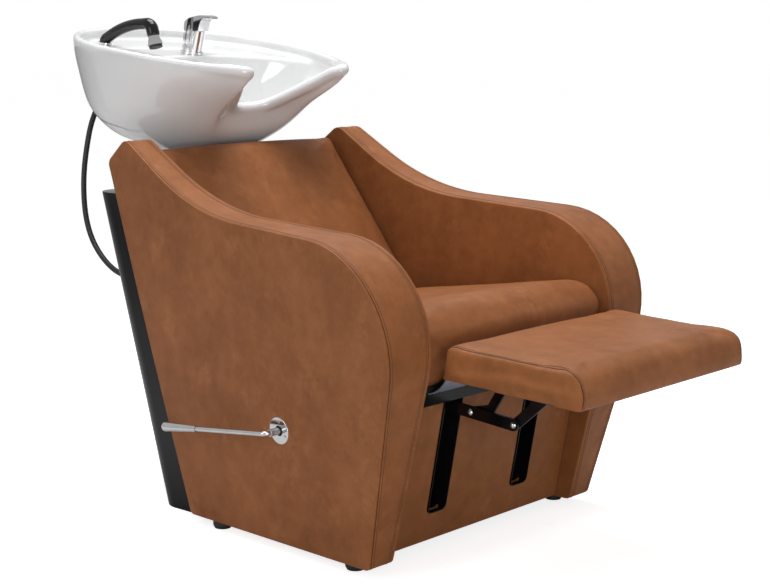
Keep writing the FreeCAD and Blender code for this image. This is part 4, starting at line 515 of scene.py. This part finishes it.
for part in frame["record"]["subparts"]:
    mesh = nodes[part["node"]].data
    mesh.materials.clear()
    mesh.materials.append(materials[part["material_slot"]])
hose.data.materials.append(materials["rubber"])


def finish_piece(piece, slot, body, replaced=(), angle=40, material=None):
    """Gives a piece its look, its body and the nodes that it stands for."""
    piece.data.materials.clear()
    piece.data.materials.append(material or materials[slot])
    choose(piece)
    bpy.ops.object.shade_smooth_by_angle(angle=math.radians(angle))
    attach(piece, body)
    if replaced:
        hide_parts(*replaced)
    print(piece.name, len(piece.data.polygons), "faces")


# %% [markdown]
# ## Stitches
#
# The seams of the arm panels and the leg rest are topstitched with thick thread. One
# stitch is modelled as a short round bar and repeated along the seam at an even pitch, as
# a machine sews it.

# %% Stitches


def stitch_line(name, points, cyclic, body, pitch=0.0065, long=0.0046, radius=0.0008):
    """A row of stitches along a line that lies on the leather."""
    guide = draw_curve(name + "_guide", points, cyclic)
    bpy.ops.mesh.primitive_cylinder_add(vertices=6, radius=radius, depth=long,
                                        rotation=(0, math.pi / 2, 0), location=(long / 2, 0, 0))
    piece = bpy.context.object
    piece.name = name
    bpy.ops.object.transform_apply(location=True, rotation=True, scale=True)
    bpy.context.view_layer.update()
    apply_modifier(piece, "ARRAY", fit_type="FIT_CURVE", curve=guide, use_relative_offset=False,
                   use_constant_offset=True, constant_offset_displace=(pitch, 0, 0))
    apply_modifier(piece, "CURVE", object=guide, deform_axis="POS_X")
    drop(guide)
    finish_piece(piece, "leather", body, material=thread_material)


# %% [markdown]
# ## Side panels
#
# Each arm is a thick upholstered panel. A band of leather runs all round its edge and is
# sewn to the outer and inner faces, so a fine groove shows where two leathers meet. The
# panel is made as three slabs of one outline: the outer face, the band and the inner
# face. Their rounded edges form the grooves. The outer face leans out towards the top and
# front, which a lattice of four layers does without changing the thin edge slabs.

# %% Side panel shapes
inner_x = 0.270
low_z, high_z = 0.016, 0.7538
front_y, rear_y = -0.4561, 0.3954
outer_low = (0.3449, 0.2995)
outer_high = (0.4310, 0.3273)
panel_outline = rounded((
    (0.183, 0.016, 0.012), (0.3954, 0.7051, 0.016), (0.3295, 0.7538, 0.026),
    (0.1172, 0.6233, 0.528), (-0.4561, 0.5932, 0.194), (-0.3177, 0.016, 0.012)), 14)
outline_sides = list(zip(panel_outline, panel_outline[1:] + panel_outline[:1]))
plane_margin = 0.0002
flat_edge = 0.004


def outer_x(y, z):
    """Where the outer face lies at a point, from the middle."""
    back = (y - front_y) / (rear_y - front_y)
    up = (z - low_z) / (high_z - low_z)
    low = outer_low[0] + back * (outer_low[1] - outer_low[0])
    high = outer_high[0] + back * (outer_high[1] - outer_high[0])
    return low + up * (high - low)


def select_plane(piece, x):
    """Selects the faces that lie flat at x, and goes on to edit them."""
    bpy.ops.object.mode_set(mode="OBJECT")
    for face in piece.data.polygons:
        face.select = abs(face.center.x - x) < plane_margin and abs(face.normal.x) > 0.99
    bpy.ops.object.mode_set(mode="EDIT")


def grid_face(piece, x, step, swell, reach):
    """Cuts the flat face at x into a grid and lets it swell a little inside its edge."""
    choose(piece)
    bpy.ops.object.mode_set(mode="EDIT")
    bpy.ops.mesh.select_all(action="DESELECT")
    select_plane(piece, x)
    bpy.ops.mesh.dissolve_limited(angle_limit=0.02)
    lines = []
    for value in range(int(front_y / step), int(rear_y / step) + 1):
        lines.append(((0, value * step, 0), (0, 1, 0)))
    for value in range(1, int(high_z / step) + 1):
        lines.append(((0, 0, value * step), (0, 0, 1)))
    for place, normal in lines:
        select_plane(piece, x)
        bpy.ops.mesh.bisect(plane_co=place, plane_no=normal)
    bpy.ops.object.mode_set(mode="OBJECT")
    group = piece.vertex_groups.new(name="swell")
    for vertex in piece.data.vertices:
        if abs(vertex.co.x - x) < plane_margin:
            point = Vector((vertex.co.y, vertex.co.z))
            depth = min(edge_distance(point, a, b) for a, b in outline_sides)
            weight = 1 - math.exp(-max(depth - flat_edge, 0) / reach)
            group.add([vertex.index], weight, "REPLACE")
    apply_modifier(piece, "DISPLACE", direction="X", vertex_group="swell", mid_level=0, strength=swell)


def edge_distance(point, a, b):
    """How far a point is from the straight line between two others."""
    along = b - a
    share = clamped((point - a).dot(along) / max(along.length_squared, 1e-12))
    return (point - a - along * share).length


thick = 0.036
cover_thick = 0.010
outer_thick = 0.0062
inner_sink = 0.0012
overlap = 0.0006
cover_edge, band_edge = 0.0028, 0.0026
inner_cover = slab("panel_inner_cover", panel_outline, inner_x + inner_sink, inner_x + cover_thick,
                   cover_edge)
band = slab("panel_band", panel_outline, inner_x + cover_thick - overlap,
            inner_x + thick - outer_thick + overlap, band_edge)
outer_cover = slab("panel_outer_cover", panel_outline, inner_x + thick - outer_thick, inner_x + thick,
                   cover_edge, 4)
grid_face(outer_cover, inner_x + thick, step=0.03, swell=0.0022, reach=0.03)
grid_face(inner_cover, inner_x + inner_sink, step=0.03, swell=-0.0011, reach=0.03)
choose(outer_cover)
for piece in (inner_cover, band):
    piece.select_set(True)
bpy.ops.object.join()
panel_left = bpy.context.object
panel_left.name = "arm_panel_left"

# %% Lean the outer face
bpy.ops.object.add(type="LATTICE")
cage = bpy.context.object
cage.data.points_u, cage.data.points_v, cage.data.points_w = 4, 2, 2
cage.data.interpolation_type_u = "KEY_LINEAR"
cage.data.interpolation_type_v = "KEY_LINEAR"
cage.data.interpolation_type_w = "KEY_LINEAR"
cage.location = (inner_x + thick / 2, (front_y + rear_y) / 2, (low_z + high_z) / 2)
cage.scale = (thick, rear_y - front_y, high_z - low_z)
bpy.context.view_layer.update()
for point in cage.data.points:
    place = cage.matrix_world @ point.co
    if point.co.x > 0:
        shift = outer_x(place.y, place.z) - inner_x - thick
        moved = Vector((place.x + shift, place.y, place.z))
        point.co_deform = cage.matrix_world.inverted() @ moved
apply_modifier(panel_left, "LATTICE", object=cage)
drop(cage)
tidy_normals(panel_left)

# %% Pocket for the side board
pocket = block((inner_x, -0.061, 0.185), (0.0306, 0.4026, 0.2906))
bpy.ops.object.transform_apply(location=False, rotation=False, scale=True)
cut_away(panel_left, pocket, use_self=True)

# %% The other panel, and the lever's bore
choose(panel_left)
bpy.ops.object.duplicate()
panel_right = bpy.context.object
panel_right.name = "arm_panel_right"
panel_right.scale = (-1, 1, 1)
bpy.ops.object.transform_apply(location=True, rotation=True, scale=True)
tidy_normals(panel_right)
lever_y, lever_z = -0.106, 0.240
bpy.ops.mesh.primitive_cylinder_add(vertices=40, radius=0.010, depth=0.3,
                                    rotation=(0, math.pi / 2, 0), location=(-0.33, lever_y, lever_z))
cut_away(panel_right, bpy.context.object, use_self=True)
for piece, side in ((panel_left, "left"), (panel_right, "right")):
    finish_piece(piece, "leather", "chair", ("side_panel_" + side,), angle=35)
    apply_modifier(piece, "WEIGHTED_NORMAL", keep_sharp=True)

# %% Painted shade lines in the seams of the panels


def inset(points, depth):
    """The closed outline moved inward by a depth."""
    moved = []
    for index, point in enumerate(points):
        ahead = points[(index + 1) % len(points)] - points[index - 1]
        inward = Vector((-ahead.y, ahead.x)).normalized()
        moved.append(point + inward * depth)
    return moved


def seam_shade_line(name, path, cyclic, radius, body):
    """A thin round line in painted shade colour, laid where two leathers fold in at a seam."""
    guide = draw_curve(name, path, cyclic)
    guide.data.bevel_depth = radius
    guide.data.bevel_resolution = 1
    finish_piece(to_mesh(guide), "leather", body, material=seam_shade_material)


# Each seam groove gets a dark line of painted shade, sunk a little inside the outline
seam_shade_inset = 0.0019
seam_shade_outline = inset(panel_outline, seam_shade_inset)
for side, sign in (("left", 1), ("right", -1)):
    outer_shade_path = [(sign * (outer_x(y, z) - outer_thick), y, z) for y, z in seam_shade_outline]
    inner_shade_path = [(sign * (inner_x + cover_thick), y, z) for y, z in seam_shade_outline]
    seam_shade_line("arm_seam_shade_outer_" + side, outer_shade_path, True, radius=0.0015, body="chair")
    seam_shade_line("arm_seam_shade_inner_" + side, inner_shade_path, True, radius=0.0013, body="chair")

# %% Panel stitches
from_seam = 0.0055
for side, sign in (("left", 1), ("right", -1)):
    outer_line = [(sign * (outer_x(y, z) - outer_thick - from_seam), y, z) for y, z in panel_outline]
    inner_line = [(sign * (inner_x + cover_thick + from_seam), y, z) for y, z in panel_outline]
    stitch_line("arm_stitches_outer_" + side, outer_line, True, "chair")
    stitch_line("arm_stitches_inner_" + side, inner_line, True, "chair")

# %% [markdown]
# ## Seat, back and leg rest cushions
#
# Each cushion is foam in a sewn leather cover. The cover is copied from the construction
# as an even net of small faces and blown up slightly, like a cushion being filled, so
# that its faces crown and its corners pull in. Then the surface is refined, and the leg
# rest's seams are laid on it.

# %% Cushion tools


last_frame = 20


def fill_cushion(piece, is_held, press, cap):
    """Blows the cover up with its hidden faces held, and limits how far it moves."""
    start = [vertex.co.copy() for vertex in piece.data.vertices]
    held = piece.vertex_groups.new(name="held")
    for vertex in piece.data.vertices:
        if is_held(vertex.co):
            held.add([vertex.index], 1.0, "REPLACE")
    choose(piece)
    bpy.ops.object.modifier_add(type="CLOTH")
    cloth = piece.modifiers[-1]
    cloth.settings.quality = 4
    cloth.settings.vertex_group_mass = "held"
    cloth.settings.use_pressure = True
    cloth.settings.uniform_pressure_force = press
    cloth.settings.effector_weights.gravity = 0
    cloth.settings.tension_stiffness = 12
    cloth.settings.compression_stiffness = 12
    cloth.settings.bending_stiffness = 0.6
    cloth.collision_settings.use_collision = False
    cloth.point_cache.frame_start = 1
    cloth.point_cache.frame_end = last_frame
    for frame_number in range(1, last_frame + 1):
        bpy.context.scene.frame_set(frame_number)
    bpy.ops.object.modifier_apply(modifier=cloth.name)
    bpy.context.scene.frame_set(1)
    for vertex, place in zip(piece.data.vertices, start):
        move = vertex.co - place
        if move.length > cap:
            vertex.co = place + move.normalized() * cap


def soft_cushion(node, name, mesh_step, is_held, press, cap, joined=None):
    """A filled cushion on an even net, copied from a node."""
    piece = copy_node(node, name)
    if joined:
        joined.select_set(True)
        bpy.ops.object.join()
    apply_modifier(piece, "REMESH", mode="VOXEL", voxel_size=mesh_step)
    apply_modifier(piece, "SMOOTH", factor=0.5, iterations=4)
    fill_cushion(piece, is_held, press, cap)
    apply_modifier(piece, "SUBSURF", levels=1, render_levels=1)
    return piece


def laid_on(piece, points, sink):
    """The points moved to the nearest place on a piece's surface, sunk a little into it."""
    laid = []
    for point in points:
        _, place, normal, _ = piece.closest_point_on_mesh(Vector(point))
        laid.append(tuple(place - normal * sink))
    return laid


def between(points, step):
    """The line through the points with more points put in at an even step."""
    filled = []
    for start, end in zip(points, points[1:]):
        start, end = Vector(start), Vector(end)
        count = max(1, round((end - start).length / step))
        for index in range(count):
            filled.append(start.lerp(end, index / count))
    return filled + [Vector(points[-1])]


# %% Seat cushion
seat_held_top = 0.342
seat = soft_cushion("seat_cushion", "seat_cover", mesh_step=0.008, press=3.0, cap=0.006,
                    is_held=lambda co: co.z < seat_held_top)
finish_piece(seat, "leather", "chair", ("seat_cushion",), angle=80)

# %% Back cushion
# Its rear face leans, so the held part lies beyond a slanting plane.
back_foot_y, back_foot_z = 0.0691, 0.3837
lean_cos, lean_sin = 0.789, 0.615
back_held_depth = 0.048
back = soft_cushion("back_cushion", "back_cover", mesh_step=0.008, press=3.0, cap=0.006,
                    is_held=lambda co: (co.y - back_foot_y) * lean_cos - (co.z - back_foot_z) * lean_sin
                    > back_held_depth)
finish_piece(back, "leather", "chair", ("back_cushion",), angle=80)

# %% Leg rest cushion
# Its leather turns down over the board's edge, which a frame of the cushion's outline makes.
rest_rise, rest_run = 14, 294
rest_turn = math.atan2(rest_rise, rest_run)
rest_middle_y = -0.5659
tuck = block((0, rest_middle_y, 0.3676), (0.5215, 0.2925, 0.0185), rest_turn)
board_room = block((0, rest_middle_y, 0.3590), (0.4985, 0.2690, 0.0160), rest_turn)
cut_away(tuck, board_room)
choose(tuck)
bpy.ops.object.transform_apply(location=True, rotation=True, scale=True)
rest_held_top = 0.372
rest = soft_cushion("legrest_cushion", "legrest_cover", mesh_step=0.006, press=3.0, cap=0.004,
                    is_held=lambda co: co.z < rest_held_top, joined=tuck)
finish_piece(rest, "leather", "leg_pad", ("legrest_cushion",), angle=80)

# %% Seams of the leg rest
# The side strips are sewn on along the top's long edges and down the front corners.
seam_out = 0.2555
seam_corners = [(-0.424, 0.420), (-0.432, 0.434), (-0.56, 0.432), (-0.665, 0.430),
                (-0.690, 0.421), (-0.708, 0.405), (-0.720, 0.385), (-0.722, 0.355)]
# A dark line of painted shade lies in each seam, and the stitches run beside it
for side, sign in (("left", 1), ("right", -1)):
    seam_line = between([(sign * seam_out, y, z) for y, z in seam_corners], 0.006)
    seam_shade_line("legrest_seam_shade_" + side, laid_on(rest, seam_line, 0.0001), False, radius=0.0008, body="leg_pad")
    thread_line = [Vector((x - sign * from_seam, y, z)) for x, y, z in seam_line]
    stitch_line("legrest_stitches_" + side, laid_on(rest, thread_line, 0.0), False, "leg_pad")

# %% [markdown]
# ## Kick panel
#
# A leather-covered board closes the front below the seat. Two slots open upwards for the
# leg rest's arms. The leather turns over every edge, so the edges are softly rounded.

# %% Kick panel
kick_high, kick_lean = 0.278, 0.0525
kick_front, kick_low = -0.285, 0.019
kick_back = 0.0100
half = 0.2690
slot_left, slot_right, slot_floor = 0.099, 0.152, 0.075
slope = math.hypot(kick_high, kick_lean)
foot = (slot_floor - kick_low) * slope / kick_high
outer_round, mouth_round, foot_round = 0.006, 0.004, 0.012
comb = rounded((
    (-half, 0, outer_round), (half, 0, outer_round), (half, slope, mouth_round),
    (slot_right, slope, mouth_round), (slot_right, foot, foot_round), (slot_left, foot, foot_round),
    (slot_left, slope, mouth_round), (-slot_left, slope, mouth_round), (-slot_left, foot, foot_round),
    (-slot_right, foot, foot_round), (-slot_right, slope, mouth_round), (-half, slope, mouth_round)), 6)
kick = thickened("kick_panel_leather", comb, half_thick=0.0096, edge=0.003)
kick.rotation_euler = (math.atan2(kick_high, -kick_lean), 0, 0)
normal_back = Vector((0, kick_high, kick_lean)).normalized()
kick.location = Vector((0, kick_front, kick_low)) + normal_back * kick_back
bpy.ops.object.transform_apply(location=True, rotation=True, scale=True)
tidy_normals(kick)
finish_piece(kick, "leather", "chair", ("kick_panel",), angle=35)
apply_modifier(kick, "WEIGHTED_NORMAL", keep_sharp=True)

# %% [markdown]
# ## Basin
#
# The basin is slip-cast ceramic: every edge is round, because glaze draws back from
# sharp ones. The construction's shell is wrapped in a fine even net and smoothed.

# %% Rolled rim of the basin
rim_right = [
    (0.138, 0.173, 0.886), (0.171, 0.211, 0.891), (0.201, 0.251, 0.897), (0.225, 0.295, 0.904),
    (0.245, 0.341, 0.910), (0.261, 0.389, 0.918), (0.271, 0.438, 0.925), (0.275, 0.488, 0.932),
    (0.267, 0.537, 0.939), (0.249, 0.584, 0.946), (0.222, 0.626, 0.953), (0.187, 0.662, 0.958),
    (0.146, 0.691, 0.962), (0.099, 0.711, 0.965), (0.050, 0.721, 0.967)]
neck_right = [(0.030, 0.338, 0.801), (0.052, 0.326, 0.807), (0.068, 0.306, 0.817), (0.081, 0.284, 0.829),
              (0.095, 0.262, 0.842), (0.111, 0.240, 0.855), (0.121, 0.216, 0.868), (0.127, 0.197, 0.877)]
rear_middle, neck_middle = (0, 0.714, 0.961), (0, 0.342, 0.799)
basin_middle_y = 0.443
rim_in, rim_drop, rim_radius = 0.019, 0.0055, 0.0092
lip_front, lip_low, lip_swell = 0.23, 0.872, 1.45
half_rim = list(neck_right)
for x, y, z in rim_right:
    half_rim.append((x * (1 - rim_in), basin_middle_y + (y - basin_middle_y) * (1 - rim_in), z - rim_drop))
rim_path = half_rim + [rear_middle] + [(-x, y, z) for x, y, z in reversed(half_rim)] + [neck_middle]
rim = bpy.data.curves.new("basin_rim", "CURVE")
rim.dimensions = "3D"
rim_spline = rim.splines.new("NURBS")
rim_spline.points.add(len(rim_path) - 1)
for point, place in zip(rim_spline.points, rim_path):
    point.co = (*place, 1)
    point.radius = lip_swell if place[1] < lip_front or place[2] < lip_low else 1.0
rim_spline.use_cyclic_u = True
rim_spline.order_u = 4
rim.bevel_depth = rim_radius
rim.bevel_resolution = 4
rim_roll = bpy.data.objects.new("basin_rim", rim)
bpy.context.scene.collection.objects.link(rim_roll)
rim_roll = to_mesh(rim_roll)
print(len(rim_path), "points lead the rim")

# %% Basin
basin = copy_node("basin", "glazed_basin")
rim_roll.select_set(True)
bpy.ops.object.join()
net_step = 0.0038
apply_modifier(basin, "REMESH", mode="VOXEL", voxel_size=net_step)
apply_modifier(basin, "SMOOTH", factor=0.5, iterations=18)
finish_piece(basin, "ceramic", "wash_basin", ("basin",), angle=80)

# %% [markdown]
# ## Hand shower
#
# The handle is moulded plastic that swells towards its elbow. The construction's tube is
# wrapped in a fine net, then swollen along its middle and most at the elbow.

# %% Hand shower handle
handle = copy_node("shower_handle", "hand_shower_grip")
apply_modifier(handle, "REMESH", mode="VOXEL", voxel_size=0.0014)
low = min(vertex.co.z for vertex in handle.data.vertices)
front = min(vertex.co.y for vertex in handle.data.vertices)
grip_start, elbow_start, fade, elbow_long = 0.012, 0.03, 0.02, 0.045
swell = handle.vertex_groups.new(name="swell")
for vertex in handle.data.vertices:
    grip = clamped((vertex.co.z - low - grip_start) / fade)
    near_front = clamped(1 - (vertex.co.y - front) / elbow_long)
    elbow = near_front * clamped((vertex.co.z - low - elbow_start) / fade)
    swell.add([vertex.index], grip * (0.4 + 0.6 * elbow), "REPLACE")
apply_modifier(handle, "DISPLACE", vertex_group="swell", mid_level=0, strength=0.0036)
apply_modifier(handle, "SMOOTH", factor=0.5, iterations=8)
finish_piece(handle, "black_plastic", "hand_shower", ("shower_handle",), angle=60)

# %% [markdown]
# ## Studio
#
# A white floor and a white surround, with large soft lights above, in front and at the
# side, as in a product photo. The camera sees the surround as plain white.

# %% Floor


def by_ray(tree, kind, usual, special):
    """A shader for one kind of light ray, and another for all the rest."""
    pick = tree.nodes.new("ShaderNodeMixShader")
    ray = tree.nodes.new("ShaderNodeLightPath")
    tree.links.new(ray.outputs[kind], pick.inputs[0])
    tree.links.new(usual.outputs[0], pick.inputs[1])
    tree.links.new(special.outputs[0], pick.inputs[2])
    return pick


def glowing(tree, kind, strength):
    node = tree.nodes.new(kind)
    node.inputs["Strength"].default_value = strength
    return node


bpy.ops.mesh.primitive_plane_add(size=60, location=(0, 0, 0))
floor = bpy.context.object
floor.name = "studio_floor"
floor_look = bpy.data.materials.new("white_floor")
floor_look.use_nodes = True
tree = floor_look.node_tree
tree.nodes.clear()
paper = tree.nodes.new("ShaderNodeBsdfDiffuse")
paper.inputs["Color"].default_value = (0.75, 0.75, 0.75, 1)
dark = glowing(tree, "ShaderNodeEmission", 0.0)
glow = glowing(tree, "ShaderNodeEmission", 0.78)
both = tree.nodes.new("ShaderNodeAddShader")
tree.links.new(paper.outputs[0], both.inputs[0])
tree.links.new(by_ray(tree, "Is Camera Ray", dark, glow).outputs[0], both.inputs[1])
surface = tree.nodes.new("ShaderNodeOutputMaterial")
tree.links.new(both.outputs[0], surface.inputs["Surface"])
floor.data.materials.append(floor_look)
print("floor:", floor.name)

# %% Surround
world = bpy.data.worlds.new("studio")
bpy.context.scene.world = world
world.use_nodes = True
tree = world.node_tree
tree.nodes.clear()
soft = glowing(tree, "ShaderNodeBackground", 0.36)
mirror = glowing(tree, "ShaderNodeBackground", 0.7)
white = glowing(tree, "ShaderNodeBackground", 1.0)
white.inputs["Color"].default_value = (1, 1, 1, 1)
unseen = by_ray(tree, "Is Glossy Ray", soft, mirror)
surface = tree.nodes.new("ShaderNodeOutputWorld")
tree.links.new(by_ray(tree, "Is Camera Ray", unseen, white).outputs[0], surface.inputs["Surface"])
print("surround:", world.name)


# %% Lights
def soft_light(name, place, aim, wide, watts):
    """A large square light that faces a point on the chair."""
    way = Vector(aim) - Vector(place)
    turn = way.to_track_quat("-Z", "Y").to_euler()
    bpy.ops.object.light_add(type="AREA", location=place, rotation=turn)
    lamp = bpy.context.object
    lamp.name = name
    lamp.data.shape = "SQUARE"
    lamp.data.size = wide
    lamp.data.energy = watts


soft_light("top_light", (0.1, 0.35, 3.2), (0, -0.1, 0.4), 2.0, 94)
soft_light("front_light", (-2.0, -3.5, 1.0), (0, 0, 0.4), 1.8, 44)
soft_light("side_light", (-3.6, 0.3, 1.5), (0, 0, 0.4), 1.8, 22)
print("lights:", [light.name for light in bpy.data.lights])
